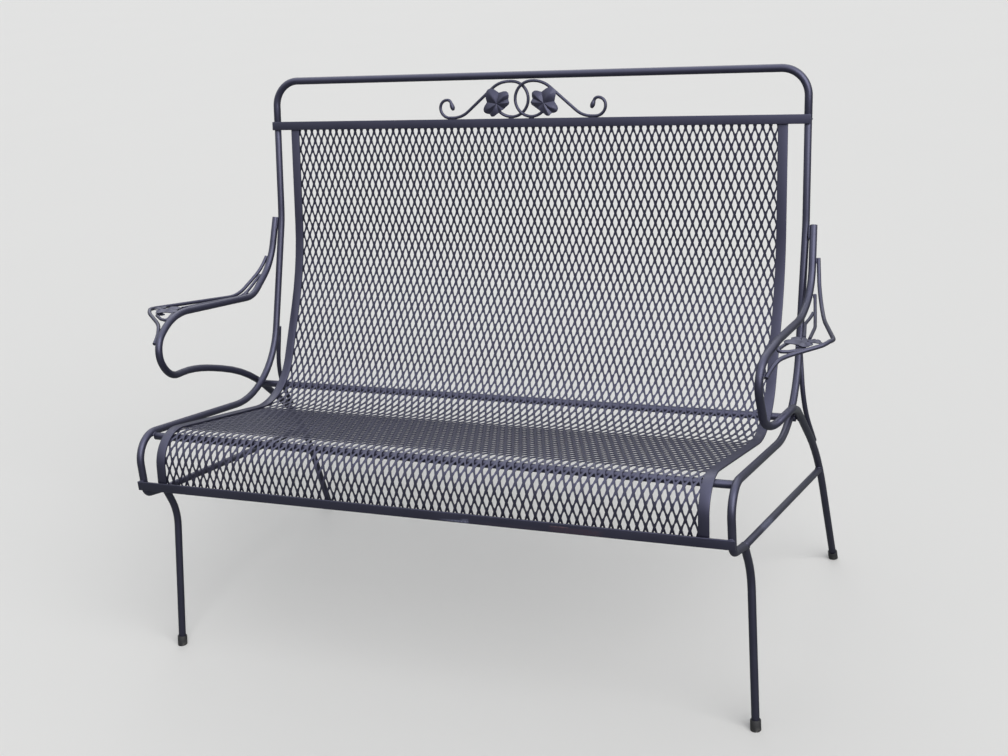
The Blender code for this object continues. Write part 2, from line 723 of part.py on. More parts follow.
def main():
    frame_paint = principled("frame paint", (0.030, 0.030, 0.042), 0.42, 0.0)
    strap_paint = principled("strap paint", (0.036, 0.036, 0.048), 0.45, 0.0)
    mesh_paint = principled("mesh paint", (0.034, 0.034, 0.045), 0.5, 0.0)
    rod_paint = principled("ornament paint", (0.030, 0.030, 0.042), 0.42, 0.0)
    leaf_paint = principled("leaf paint", (0.032, 0.031, 0.042), 0.5, 0.0)
    glide_plastic = principled("glide plastic", (0.02, 0.02, 0.022), 0.6, 0.0)
    make_side_rails(frame_paint)
    make_arms(frame_paint)
    make_hoop(frame_paint)
    make_flat_bars(strap_paint)
    make_crossbars(frame_paint)
    make_braces(frame_paint)
    make_stretchers(frame_paint)
    make_straps(strap_paint)
    make_sling(mesh_paint)
    make_crest_scrolls(rod_paint)
    make_crest_leaves(leaf_paint)
    make_arm_vines(rod_paint)
    make_arm_stems(rod_paint)
    make_arm_scrolls(rod_paint)
    make_arm_leaves(leaf_paint)
    make_glides(glide_plastic)


REAR_LEAN = math.atan2(REAR_FOOT - REAR_HOCK[0], REAR_HOCK[1])
REAR_FACE = REAR_FOOT + GLIDE_D / 2 / math.cos(REAR_LEAN)
MID_DEPTH = (FRONT_FACE + REAR_FACE) / 2
MIDDLE = Matrix.Translation((0, -MID_DEPTH, 0))
SIDES = (("left", -1), ("right", 1))

for old in list(bpy.data.objects):
    bpy.data.objects.remove(old)
SETTEE = bpy.data.collections.new("patio_settee")
CUTTERS = bpy.data.collections.new("cutters")
bpy.context.scene.collection.children.link(SETTEE)
bpy.context.scene.collection.children.link(CUTTERS)
main()
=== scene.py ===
"""Looks of the patio settee: bent bars, expanded mesh, leaves, scrolls, welds, glides, stage and camera."""

import math

import bpy
from bpy.props import FloatProperty, FloatVectorProperty, IntProperty, PointerProperty
from mathutils import Matrix, Vector


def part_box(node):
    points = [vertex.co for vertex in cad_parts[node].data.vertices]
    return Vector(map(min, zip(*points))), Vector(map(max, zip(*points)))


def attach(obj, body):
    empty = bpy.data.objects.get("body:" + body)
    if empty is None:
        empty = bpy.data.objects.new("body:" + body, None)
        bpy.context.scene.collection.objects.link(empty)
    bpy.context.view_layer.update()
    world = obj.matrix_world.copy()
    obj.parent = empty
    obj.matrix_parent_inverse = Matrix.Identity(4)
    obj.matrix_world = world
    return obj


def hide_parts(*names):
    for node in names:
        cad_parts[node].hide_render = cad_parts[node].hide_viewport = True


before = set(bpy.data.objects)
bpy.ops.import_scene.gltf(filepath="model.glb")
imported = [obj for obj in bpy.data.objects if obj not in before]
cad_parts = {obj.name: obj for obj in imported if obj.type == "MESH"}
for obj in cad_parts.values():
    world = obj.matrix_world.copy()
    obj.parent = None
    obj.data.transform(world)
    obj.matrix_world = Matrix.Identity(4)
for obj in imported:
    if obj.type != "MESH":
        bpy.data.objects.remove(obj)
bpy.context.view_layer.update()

bl_info = {
    "name": "Patio settee",
    "version": (1, 0, 0),
    "blender": (4, 5, 0),
    "location": "3D View > Sidebar > Settee",
    "description": "Builds the visible pieces of a bent-bar patio settee around its packed frame",
    "category": "Add Mesh",
}

SIDES = (("left", -1), ("right", 1))
SEAM = 0.0003
# Degrees of bend between two rings of a bar's mesh and of a scroll's, and how far cut ends are rounded
BEND_STEP = 5
ARC_STEP = 7
BENT_END = 0.0008
STRAIGHT_END = 0.0004

# Depths are measured back from the front face line of the seat, then moved to the middle
MID_DEPTH = 0.2943
RAIL_X = 0.4845
ARM_X = 0.4968
STRAP_X = 0.4457
SLING_W = 0.889
FRONT_FACE = -0.0061
FRONT_BAR_H = 0.3205
# Radius of the frame bar and half the thickness of the mesh, as the frame has them
BAR_R = 0.006
MESH_HALF = 0.00075
HOOP_RISE = 0.0796
HOOP_R = 0.044
BRACE_R = 0.120
# How far a leg stops short of the ground inside its glide, and a stretcher short of a bar's middle
FOOT_LIFT = 0.006
STRETCHER_STOP = 0.002

# Side views, (depth, height) of each bend, and the bend radii
RAIL = ((0.556, 0.7878), (0.5235, 0.623), (0.4074, 0.3215), (0.0045, 0.403), (0.0032, 0.3035),
        (0.056, 0.289), (0.080, 0.236), (0.0395, 0.0))
RAIL_R = (0.210, 0.146, 0.043, 0.016, 0.012, 0.090)
RAIL_OUT = (0, 0, 0, 0, 0, 0.003, 0.005, 0.014)
# The arms with their rear legs differ a little from side to side, being bent by hand: side view,
# bend radii, and how far out each bend lies
ARMS = {
    -1: (((0.4906, 0.5468), (0.4129, 0.5063), (0.1819, 0.5495), (0.1068, 0.5137), (0.1376, 0.4520),
          (0.2349, 0.4349), (0.3537, 0.3856), (0.5101, 0.2338), (0.5863, 0.0)),
         (0.102, 0.060, 0.179, 0.056, 0.065, 0.241, 0.303, 0.286),
         (0, 0.004, 0.0025, 0.0105, 0.001, 0.0055, 0.0216, -0.0005, 0.003, 0.012)),
    1: (((0.4781, 0.5319), (0.4072, 0.5073), (0.2039, 0.5425), (0.1051, 0.5328), (0.1450, 0.4219),
         (0.1934, 0.4451), (0.3757, 0.3665), (0.5101, 0.2338), (0.5863, 0.0)),
        (0.108, 0.189, 0.120, 0.040, 0.040, 0.110, 0.120, 0.319),
        (0, 0.004, 0.0025, 0.0105, 0.001, 0.004, 0.0320, -0.0005, 0.003, 0.012)),
}
ARM_TOP_H = 0.625
BRACE_TOP_H = 0.437
BRACE_WAIST_H = 0.3425
BRACE_FOOT_H = 0.2615
STRETCHER_REAR_H = 0.203
SLING = ((0.5073, 0.540), (0.3795, 0.3162), (0.0140, 0.4080))
SLING_R = (0.456, 0.111, 0.050)

# Arm ornament in plan, (distance outside the rail, depth); inside the vine it falls away outward
VINE_REAR = {-1: 0.492, 1: 0.500}
VINE = ((0.0292, 0.476), (0.1016, 0.2165), (0.0291, 0.156))
VINE_R = (0.060, 0.040, 0.088)
VINE_RETURN_H = 0.532
VINE_FOOT_H = 0.516
STEM = ((0.0250, 0.462), (0.047, 0.350), (0.0575, 0.258))
STEM_R = 0.300
TWIG = ((0.0300, 0.420), (0.0275, 0.372), (0.0490, 0.262))
TWIG_R = 0.120
CURL = ((0.0500, 0.243), (0.0385, 0.212), (0.0275, 0.1715), (0.0440, 0.1772), (0.0790, 0.2052),
        (0.0500, 0.1965))
CURL_R = (0.020, 0.0065, 0.010, 0.006)
ORNAMENT_FALL = {-1: 0.05, 1: 0.13}
# Arm leaves: name, node, radius, place in plan and turn in degrees
ARM_LEAVES = (("arm_ivy_", "arm_leaf_", 0.0255, (0.055, 0.214), -150),
              ("arm_ivy_bud_", "arm_bud_", 0.0135, (0.0716, 0.2212), -25))
ARM_LEAF_SEAT = 0.028

# Crest, measured from the middle of the top flat bar: the rings, the scrolls that run on from them as
# (length, 0) or (radius, turn in degrees), and the leaves
RING_R = 0.0295
RING_X = 0.0187
RING_START = 224
CREST_MOVES = ((RING_R, 216), (0.048, 50), (0.0600, 0), (0.043, -40), (0.007, 0), (0.0175, -90),
               (0.013, -90), (0.0075, -70))
HOOK_FOOT_X = 0.1265
CREST_LEAF_R = 0.0295
CREST_LEAF_X = -0.0428
CREST_LEAF_RISE = 0.0322
CREST_LEAF_TURN = 125
CREST_LEAF_LIFT = 0.0015

BAR_BEAD = 0.0026
ROD_BEAD = 0.0019
CROSSING_BEAD_R = 0.0022


def length_of(name, description, default, low, high):
    return FloatProperty(name=name, description=description, default=default, min=low, max=high,
                         unit="LENGTH")


def number_of(name, description, default, low, high):
    return IntProperty(name=name, description=description, default=default, min=low, max=high)


def colour_of(name, description, default):
    return FloatVectorProperty(name=name, description=description, default=default, min=0, max=1, size=3,
                               subtype="COLOR")


class SetteeSizes(bpy.types.PropertyGroup):
    """Sizes of the stock that the settee is made of."""

    bar: length_of("Frame bar", "Diameter of the rails, arms and crossbars", 0.012, 0.008, 0.02)
    hoop: length_of("Hoop bar", "Diameter of the hoop over the back", 0.0127, 0.008, 0.02)
    brace: length_of("Brace rod", "Diameter of the rear braces", 0.008, 0.005, 0.015)
    stretcher: length_of("Stretcher bar", "Diameter of the side stretchers", 0.011, 0.006, 0.015)
    flat_height: length_of("Flat bar height", "Height of the two flat bars", 0.015, 0.01, 0.03)
    flat_thick: length_of("Flat bar thickness", "Thickness of flat bars and straps", 0.003, 0.002, 0.006)
    strap_width: length_of("Strap width", "Width of the straps over the mesh edges", 0.016, 0.01, 0.03)
    vine: length_of("Vine rod", "Diameter of the rod round each arm ornament", 0.0064, 0.003, 0.01)
    scroll: length_of("Scroll rod", "Diameter of the scrolls, stems and twigs", 0.0052, 0.003, 0.01)
    leaf_sheet: length_of("Leaf sheet", "Thickness of the stamped leaves", 0.0012, 0.0005, 0.003)
    mesh_columns: number_of("Diamonds across", "Mesh openings across the sling", 70, 10, 120)
    mesh_rows: number_of("Diamonds along", "Mesh openings from top bar to front bar", 30, 5, 60)
    strand: length_of("Strand width", "Width of a strand of the mesh at its middle", 0.0023, 0.001, 0.004)
    bond: length_of("Bond width", "Width of the bonds where four strands meet", 0.0041, 0.002, 0.006)
    sheet: length_of("Mesh sheet", "Thickness of the sheet that the mesh is cut from", 0.0013, 0.0008, 0.003)
    glide: length_of("Glide diameter", "Outside diameter of the foot glides", 0.016, 0.012, 0.03)


class SetteeColours(bpy.types.PropertyGroup):
    """Colours of the finishes."""

    paint: colour_of("Paint", "Black paint over all the metal", (0.0120, 0.0117, 0.0185))
    gloss: colour_of("Paint gloss", "Tint of the paint's gloss", (0.60, 0.60, 1.0))
    # Blue-tinted: on faces that look up this colour is partly dust and partly painted sky sheen
    dust_and_sheen: colour_of("Dust", "Dust that settles on faces that look up", (0.080, 0.080, 0.115))
    rust: colour_of("Rust", "Rust in chips and scrapes", (0.055, 0.026, 0.020))
    bare: colour_of("Scraped metal", "Metal that shows where paint is scraped", (0.15, 0.16, 0.23))
    glide: colour_of("Glide plastic", "Moulded plastic of the foot glides", (0.020, 0.020, 0.022))
    floor: colour_of("Floor", "Pale studio floor", (0.76, 0.75, 0.73))


# Centre lines


def side_points(x, points, out=None):
    """Side-view points as points of the right-hand side of the settee."""
    out = out or [0] * len(points)
    return [Vector((x + o, depth - MID_DEPTH, height)) for o, (depth, height) in zip(out, points)]


def back_frame():
    """The upper back: the bar's middle at the top flat bar, the way up and the way to the sitter."""
    up = Vector((0, RAIL[0][0] - RAIL[1][0], RAIL[0][1] - RAIL[1][1])).normalized()
    front = Vector((0, -up.z, up.y))
    return Vector((0, RAIL[0][0] - MID_DEPTH, RAIL[0][1])), up, front


def bends(points, radii):
    """For each inner point: where the bend starts, its centre, axis and turn."""
    found = []
    for i in range(1, len(points) - 1):
        back = points[i - 1] - points[i]
        ahead = points[i + 1] - points[i]
        back_room = 0.95 * back.length if i == 1 else 0.5 * back.length
        ahead_room = 0.95 * ahead.length if i == len(points) - 2 else 0.5 * ahead.length
        back.normalize()
        ahead.normalize()
        half = back.angle(ahead) / 2
        run = min(radii[i - 1] / math.tan(half), back_room, ahead_room)
        centre = points[i] + (back + ahead).normalized() * (run * math.tan(half) / math.sin(half))
        axis = ahead.cross(back).normalized()
        found.append((points[i] + back * run, centre, axis, math.pi - 2 * half))
    return found


def bent_line(points, radii, step=math.radians(4)):
    """A bent bar's centre line as closely spaced points."""
    line = [points[0]]
    for start, centre, axis, turn in bends(points, radii):
        count = max(2, math.ceil(turn / step))
        for k in range(count + 1):
            line.append(centre + Matrix.Rotation(turn * k / count, 3, axis) @ (start - centre))
    line.append(points[-1])
    return line


def finely(line, gap=0.0006):
    """A line with further points put in, so that none is further than the gap from the next."""
    fine = [line[0]]
    for a, b in zip(line, line[1:]):
        parts = max(1, math.ceil((b - a).length / gap))
        fine += [a.lerp(b, k / parts) for k in range(1, parts + 1)]
    return fine


def runs_to(line):
    """How far along a line each of its points lies."""
    marks = [0.0]
    for a, b in zip(line, line[1:]):
        marks.append(marks[-1] + (b - a).length)
    return marks


def at(line, value, axis):
    """The point where a line first reaches a value along axis 1 (depth) or 2 (height), and its way."""
    for a, b in zip(line, line[1:]):
        if min(a[axis], b[axis]) <= value <= max(a[axis], b[axis]) and a[axis] != b[axis]:
            return a.lerp(b, (value - a[axis]) / (b[axis] - a[axis])), (b - a).normalized()
    raise RuntimeError("the line does not reach this value")


def rail_points():
    return side_points(RAIL_X, RAIL, RAIL_OUT)


def arm_points(side):
    top = at(bent_line(side_points(RAIL_X, RAIL[:4]), RAIL_R[:2]), ARM_TOP_H, 2)[0]
    return side_points(ARM_X, ((top.y + MID_DEPTH, top.z),) + ARMS[side][0], ARMS[side][2])


def arm_halves(side):
    """The arm's line cut at the front of its curl."""
    arm = bent_line(arm_points(side), ARMS[side][1])
    front = min(range(len(arm) // 2), key=lambda i: arm[i].y)
    return arm[:front + 1], arm[front:]


def sling_points():
    middle, up, front = back_frame()
    sizes = bpy.context.scene.settee_sizes
    top = middle + front * (BAR_R - 2 * SEAM - sizes.flat_thick - MESH_HALF) + up * sizes.flat_height / 4
    foot = (FRONT_FACE + 2 * sizes.flat_thick + 2 * SEAM + MESH_HALF, FRONT_BAR_H - sizes.flat_height / 4)
    return [top] + side_points(0, SLING + (foot,))


# Modelling helpers


def deselect():
    if bpy.context.mode != "OBJECT":
        bpy.ops.object.mode_set(mode="OBJECT")
    bpy.ops.object.select_all(action="DESELECT")


def only(obj):
    deselect()
    obj.select_set(True)
    bpy.context.view_layer.objects.active = obj


def edit(obj, mode="VERT"):
    only(obj)
    bpy.ops.object.mode_set(mode="EDIT")
    bpy.ops.mesh.select_mode(type=mode)


def settle(obj, angle):
    """Puts a piece's place in its mesh and smooths it by angle."""
    only(obj)
    bpy.ops.object.transform_apply(location=True, rotation=True, scale=True)
    bpy.ops.object.shade_smooth_by_angle(angle=math.radians(angle))
    deselect()


def added(name):
    """The object that an operator has just added, under its own name."""
    obj = bpy.context.object
    obj.name = name
    obj.data.name = name
    return obj


def turn_out():
    """Turns all faces of the piece in edit mode outward and leaves edit mode."""
    bpy.ops.mesh.select_all(action="SELECT")
    bpy.ops.mesh.normals_make_consistent(inside=False)
    bpy.ops.object.mode_set(mode="OBJECT")


def thicken(obj, thickness):
    """Gives a sheet its thickness, half to each side."""
    wall = obj.modifiers.new("sheet", "SOLIDIFY")
    wall.thickness = thickness
    wall.offset = 0
    return wall


def apply_all(obj):
    only(obj)
    for modifier in list(obj.modifiers):
        bpy.ops.object.modifier_apply(modifier=modifier.name)


def close_ends(obj, rounding=0.0):
    """Fills the open ends of a drawn bar, takes their sharp rims off when given a rounding, and turns all
    faces out.
    """
    edit(obj, "EDGE")
    bpy.ops.mesh.select_all(action="DESELECT")
    bpy.ops.mesh.select_non_manifold()
    bpy.ops.mesh.edge_face_add()
    if rounding:
        bpy.ops.mesh.bevel(offset=rounding, segments=2, affect="EDGES")
    turn_out()


def start_bar(name, start, way, diameter, sides):
    deselect()
    turn = way.to_track_quat("Z", "Y").to_euler()
    bpy.ops.mesh.primitive_circle_add(vertices=sides, radius=diameter / 2, location=start, rotation=turn)
    bar = added(name)
    bpy.ops.object.transform_apply(location=True, rotation=True, scale=True)
    edit(bar)
    bpy.ops.mesh.select_all(action="SELECT")
    return bar


def push(run):
    """Draws the selected end of a bar on by a straight run."""
    bpy.ops.mesh.extrude_region_move(TRANSFORM_OT_translate={"value": run, "orient_type": "GLOBAL"})


def bent_bar(name, points, radii, diameter, sides=20):
    """A round bar worked as a bender does: pushed on along each straight, swung round each bend."""
    bar = start_bar(name, points[0], (points[1] - points[0]).normalized(), diameter, sides)
    here = points[0]
    for start, centre, axis, turn in bends(points, radii):
        if (start - here).length > 1e-5:
            push(start - here)
        count = max(2, math.ceil(math.degrees(turn) / BEND_STEP))
        bpy.ops.mesh.spin(steps=count, angle=turn, center=centre, axis=-axis)
        here = centre + Matrix.Rotation(turn, 3, axis) @ (start - centre)
    push(points[-1] - here)
    close_ends(bar, BENT_END)
    return bar


def mirrored(points, side):
    return [Vector((side * p.x, p.y, p.z)) for p in points]


def ride(piece, finish_name, slot, *nodes, crisp=40):
    """Finishes a piece and hands it to the frame, in place of the nodes named."""
    piece.data.materials.clear()
    piece.data.materials.append(finish(finish_name))
    settle(piece, crisp)
    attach(piece, "root")
    if nodes:
        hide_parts(*nodes)


# Materials


def finish(name):
    """The material of this name, made once."""
    if name in bpy.data.materials:
        return bpy.data.materials[name]
    return painted(name, **FINISHES[name]) if name in FINISHES else moulded(name)


def new_tree(name):
    made = bpy.data.materials.new(name)
    made.use_nodes = True
    return made, made.node_tree, made.node_tree.nodes["Principled BSDF"]


def put(tree, kind, **values):
    """A node with its settings and its sockets' values or links."""
    node = tree.nodes.new(kind)
    for key, value in values.items():
        if hasattr(node, key):
            setattr(node, key, value)
            continue
        feed(tree, node.inputs[key.replace("_", " ")], value)
    return node


def feed(tree, socket, value):
    """Links another node's output to a socket, or sets the socket to a plain value."""
    if isinstance(value, bpy.types.NodeSocket):
        tree.links.new(value, socket)
    else:
        socket.default_value = value


def object_place(tree):
    return put(tree, "ShaderNodeTexCoord").outputs["Object"]


def noise(tree, place, scale, detail):
    return put(tree, "ShaderNodeTexNoise", Vector=place, Scale=scale, Detail=detail).outputs["Fac"]


SURFACE = (("Colour", "NodeSocketColor"), ("Roughness", "NodeSocketFloat"), ("Height", "NodeSocketFloat"))


def group(name, inputs):
    """A group that gives a colour, a roughness and a height."""
    tree = bpy.data.node_groups.new(name, "ShaderNodeTree")
    for word, kind, default in inputs:
        tree.interface.new_socket(word, in_out="INPUT", socket_type=kind).default_value = default
    for word, kind in SURFACE:
        tree.interface.new_socket(word, in_out="OUTPUT", socket_type=kind)
    return tree, tree.nodes.new("NodeGroupInput"), tree.nodes.new("NodeGroupOutput")


def scaled(tree, value, low, high, to_low, to_high):
    node = put(tree, "ShaderNodeMapRange", Value=value)
    for socket, bound in zip(node.inputs[1:5], (low, high, to_low, to_high)):
        feed(tree, socket, bound)
    return node.outputs[0]


def mixed(tree, share, a, b):
    node = tree.nodes.new("ShaderNodeMix")
    node.data_type = "RGBA"
    for socket, value in zip((node.inputs[0], node.inputs[6], node.inputs[7]), (share, a, b)):
        feed(tree, socket, value)
    return node.outputs[2]


def sums(tree, operation, a, b):
    node = put(tree, "ShaderNodeMath", operation=operation)
    for socket, value in zip(node.inputs, (a, b)):
        feed(tree, socket, value)
    return node.outputs[0]


def paint_film():
    """Group: brushed-on black paint with orange peel, cloudy gloss, and a pale bluish tone on what looks up
    that is partly dust and partly painted sky sheen.
    """
    if "paint film" in bpy.data.node_groups:
        return bpy.data.node_groups["paint film"]
    # The Dust input and the Dust Share give that tone: partly dust, partly a painted sheen of the sky
    tree, given, result = group(
        "paint film",
        (("Paint", "NodeSocketColor", (0.02, 0.02, 0.03, 1)), ("Dust", "NodeSocketColor", (0.1, 0.1, 0.1, 1)),
         ("Dust Share", "NodeSocketFloat", 0.3), ("Gloss Low", "NodeSocketFloat", 0.34),
         ("Gloss High", "NodeSocketFloat", 0.5)))
    place = object_place(tree)
    cloud = noise(tree, place, 11.0, 3.0)
    fine = noise(tree, place, 260.0, 2.0)
    peel = noise(tree, place, 900.0, 1.0)
    # Faces that look up get the pale bluish tone, partly dust and partly painted sky sheen
    facing = put(tree, "ShaderNodeNewGeometry").outputs["Normal"]
    rise = put(tree, "ShaderNodeSeparateXYZ", Vector=facing).outputs["Z"]
    upward = scaled(tree, rise, 0.25, 1.0, 0.0, 1.0)
    speck = scaled(tree, noise(tree, place, 70.0, 6.0), 0.42, 0.68, 0.1, 1.0)
    dust_and_sheen = sums(tree, "MULTIPLY", sums(tree, "MULTIPLY", upward, speck), given.outputs["Dust Share"])
    wear = scaled(tree, cloud, 0.35, 0.7, 0.0, 0.2)
    worn = mixed(tree, wear, given.outputs["Paint"], (0.030, 0.028, 0.040, 1))
    colour = mixed(tree, dust_and_sheen, worn, given.outputs["Dust"])
    sheen = sums(tree, "ADD", sums(tree, "MULTIPLY", cloud, 0.6), sums(tree, "MULTIPLY", fine, 0.4))
    gloss = scaled(tree, sheen, 0.3, 0.7, given.outputs["Gloss Low"], given.outputs["Gloss High"])
    rough = sums(tree, "ADD", gloss, sums(tree, "MULTIPLY", dust_and_sheen, 0.5))
    height = sums(tree, "ADD", sums(tree, "MULTIPLY", peel, 0.3), sums(tree, "MULTIPLY", fine, 0.7))
    for socket, value in zip(result.inputs, (colour, rough, height)):
        tree.links.new(value, socket)
    return tree


def chips():
    """Group: small chips of the paint with rust in them."""
    if "paint chips" in bpy.data.node_groups:
        return bpy.data.node_groups["paint chips"]
    tree, given, result = group(
        "paint chips",
        (("Colour", "NodeSocketColor", (0, 0, 0, 1)), ("Roughness", "NodeSocketFloat", 0.4),
         ("Height", "NodeSocketFloat", 0.5), ("Rust", "NodeSocketColor", (0.2, 0.1, 0.05, 1)),
         ("Amount", "NodeSocketFloat", 0.5), ("Size", "NodeSocketFloat", 90.0)))
    place = object_place(tree)
    patch = noise(tree, place, given.outputs["Size"], 5.0)
    area = noise(tree, place, 9.0, 2.0)
    level = sums(tree, "ADD", sums(tree, "MULTIPLY", patch, 0.7), sums(tree, "MULTIPLY", area, 0.3))
    limit = sums(tree, "SUBTRACT", 0.74, sums(tree, "MULTIPLY", given.outputs["Amount"], 0.1))
    over = sums(tree, "SUBTRACT", level, limit)
    mask = scaled(tree, over, 0.0, 0.012, 0.0, 1.0)
    colour = mixed(tree, mask, given.outputs["Colour"], given.outputs["Rust"])
    rough = sums(tree, "ADD", given.outputs["Roughness"], sums(tree, "MULTIPLY", mask, 0.35))
    height = sums(tree, "SUBTRACT", given.outputs["Height"], sums(tree, "MULTIPLY", mask, 1.5))
    for socket, value in zip(result.inputs, (colour, rough, height)):
        tree.links.new(value, socket)
    return tree


def painted(name, dust_and_sheen=0.12, low=0.38, high=0.52, amount=0.1, size=90.0, marks=()):
    """Black paint over metal, with the marks of use that lie over it."""
    made, tree, shader = new_tree(name)
    colours = bpy.context.scene.settee_colours
    # The dust colour and share also lay a painted sky sheen on faces that look up
    film = put(tree, "ShaderNodeGroup", node_tree=paint_film(), Paint=(*colours.paint, 1),
               Dust=(*colours.dust_and_sheen, 1), Dust_Share=dust_and_sheen, Gloss_Low=low, Gloss_High=high)
    chip = put(tree, "ShaderNodeGroup", node_tree=chips(), Colour=film.outputs["Colour"],
               Roughness=film.outputs["Roughness"], Height=film.outputs["Height"],
               Rust=(*colours.rust, 1), Amount=amount, Size=size)
    colour, rough, height = chip.outputs
    if marks:
        colour, rough = scraped(tree, colour, rough, marks)
    grain = put(tree, "ShaderNodeBump", Height=height, Distance=0.00006)
    tree.links.new(colour, shader.inputs["Base Color"])
    tree.links.new(rough, shader.inputs["Roughness"])
    tree.links.new(grain.outputs[0], shader.inputs["Normal"])
    shader.inputs["Specular Tint"].default_value = (*colours.gloss, 1)
    shader.inputs["Specular IOR Level"].default_value = 1.0
    shader.inputs["Coat Weight"].default_value = 0.35
    shader.inputs["Coat Roughness"].default_value = 0.22
    return made


def scraped(tree, colour, rough, marks):
    """Lays scrapes and stains over the paint, broken up by grain and faded between their bounds."""
    place = object_place(tree)
    parts = put(tree, "ShaderNodeSeparateXYZ", Vector=place).outputs
    grain = scaled(tree, noise(tree, place, 500.0, 3.0), 0.38, 0.60, 0.2, 1.0)
    for tone, strength, bounds in marks:
        mask = sums(tree, "MULTIPLY", grain, strength)
        for axis, (start, full, last, end) in bounds:
            mask = sums(tree, "MULTIPLY", mask, scaled(tree, parts[axis], start, full, 0.0, 1.0))
            mask = sums(tree, "MULTIPLY", mask, scaled(tree, parts[axis], last, end, 1.0, 0.0))
        shade = bpy.context.scene.settee_colours.bare if tone == "bare" else tone
        colour = mixed(tree, mask, colour, (*shade, 1))
        rough = sums(tree, "ADD", rough, sums(tree, "MULTIPLY", mask, 0.25))
    return colour, rough


# Marks of use: colour, strength, and along an axis where each starts, is full, starts to fade and ends
FRONT_BAR_MARKS = (
    ("bare", 0.85, ((0, (0.044, 0.074, 0.0935, 0.0945)), (2, (0.3140, 0.3150, 0.3165, 0.3180)))),
    ("bare", 0.55, ((0, (0.080, 0.088, 0.0935, 0.0945)), (2, (0.3165, 0.3175, 0.3195, 0.3215)))),
    ((0.20, 0.095, 0.085), 0.8, ((0, (0.220, 0.225, 0.246, 0.252)), (2, (0.3222, 0.3228, 0.3232, 0.3238)))),
    ((0.034, 0.014, 0.013), 0.8, ((0, (0.218, 0.226, 0.292, 0.305)), (2, (0.3130, 0.3150, 0.3215, 0.3240)))),
    ((0.028, 0.019, 0.024), 0.5, ((0, (0.094, 0.120, 0.190, 0.218)), (2, (0.3130, 0.3145, 0.3175, 0.3200)))),
)
STRETCHER_MARKS = (
    ("bare", 0.5, ((0, (0.40, 0.41, 0.60, 0.61)), (1, (-0.160, -0.150, -0.112, -0.094)))),
)


def moulded(name):
    """Matte plastic with a fine spark-eroded grain and scuffs toward the ground."""
    made, tree, shader = new_tree(name)
    colours = bpy.context.scene.settee_colours
    place = object_place(tree)
    grain = noise(tree, place, 1600.0, 2.0)
    scuff = noise(tree, place, 180.0, 5.0)
    low = scaled(tree, put(tree, "ShaderNodeSeparateXYZ", Vector=place).outputs["Z"], 0.0, 0.008, 1.0, 0.0)
    mask = sums(tree, "MULTIPLY", low, scaled(tree, scuff, 0.45, 0.6, 0.0, 0.7))
    colour = mixed(tree, mask, (*colours.glide, 1), (0.12, 0.115, 0.105, 1))
    bump = put(tree, "ShaderNodeBump", Height=grain, Distance=0.00005)
    tree.links.new(colour, shader.inputs["Base Color"])
    tree.links.new(scaled(tree, scuff, 0.3, 0.7, 0.5, 0.75), shader.inputs["Roughness"])
    tree.links.new(bump.outputs[0], shader.inputs["Normal"])
    return made


# The dust share of each finish also sets how much painted sky sheen lies on faces that look up
EVEN_FILM = {"dust_and_sheen": 0.1, "low": 0.40, "high": 0.54, "amount": 0.2}
FINISHES = {
    "bar_finish": {},
    "flat_finish": EVEN_FILM,
    "front_bar_finish": dict(EVEN_FILM, marks=FRONT_BAR_MARKS),
    "stretcher_finish": {"marks": STRETCHER_MARKS},
    "mesh_finish": {"size": 160.0},
    "rod_finish": dict(EVEN_FILM, size=140.0),
    "leaf_finish": {"dust_and_sheen": 0.2, "low": 0.42, "high": 0.58, "amount": 0.3, "size": 150.0},
    "weld_finish": {"dust_and_sheen": 0.2, "low": 0.34, "high": 0.48, "amount": 0.3, "size": 200.0},
}


class BarOperator:
    bl_options = {"REGISTER", "UNDO"}

    def execute(self, context):
        self.build(context.scene.settee_sizes)
        return {"FINISHED"}


class SETTEE_OT_rails(BarOperator, bpy.types.Operator):
    """Bend the two side rails with their front legs"""

    bl_idname = "settee.rails"
    bl_label = "Side Rails"

    def build(self, sizes):
        for word, side in SIDES:
            points = mirrored(rail_points(), side)
            points[-1] = points[-1].lerp(points[-2], FOOT_LIFT / points[-2].z)
            bar = bent_bar("rail_and_leg_" + word, points, RAIL_R, sizes.bar)
            ride(bar, "bar_finish", "frame_paint", "side_rail_" + word)


class SETTEE_OT_arms(BarOperator, bpy.types.Operator):
    """Bend the two arms with their rear legs"""

    bl_idname = "settee.arms"
    bl_label = "Arms"

    def build(self, sizes):
        for word, side in SIDES:
            points = mirrored(arm_points(side), side)
            points[-1] = points[-1].lerp(points[-2], FOOT_LIFT / points[-2].z)
            bar = bent_bar("arm_and_leg_" + word, points, ARMS[side][1], sizes.bar)
            ride(bar, "bar_finish", "frame_paint", "arm_rear_leg_" + word)


class SETTEE_OT_hoop(BarOperator, bpy.types.Operator):
    """Bend the hoop over the back"""

    bl_idname = "settee.hoop"
    bl_label = "Back Hoop"

    def build(self, sizes):
        middle, up, _ = back_frame()
        half = Vector((RAIL_X, 0, 0))
        foot, top = middle + up * SEAM, middle + up * HOOP_RISE
        bar = bent_bar("hoop_bar", [foot - half, top - half, top + half, foot + half],
                       (HOOP_R, HOOP_R), sizes.hoop)
        ride(bar, "bar_finish", "frame_paint", "back_hoop")


def flat_bar(name, middle, up, front, sizes):
    """Rolled flat bar: a cube drawn out to its section, its long rims rounded."""
    deselect()
    bpy.ops.mesh.primitive_cube_add(size=1)
    bar = added(name)
    bar.scale = (2 * RAIL_X + sizes.bar, sizes.flat_thick, sizes.flat_height)
    bpy.ops.object.transform_apply(location=False, rotation=False, scale=True)
    edit(bar, "EDGE")
    bpy.ops.mesh.select_all(action="SELECT")
    bpy.ops.mesh.bevel(offset=sizes.flat_thick / 4, segments=3, affect="EDGES")
    bpy.ops.object.mode_set(mode="OBJECT")
    across = up.cross(front)
    bar.matrix_world = Matrix.Translation(middle) @ Matrix((across, -front, up)).transposed().to_4x4()
    return bar


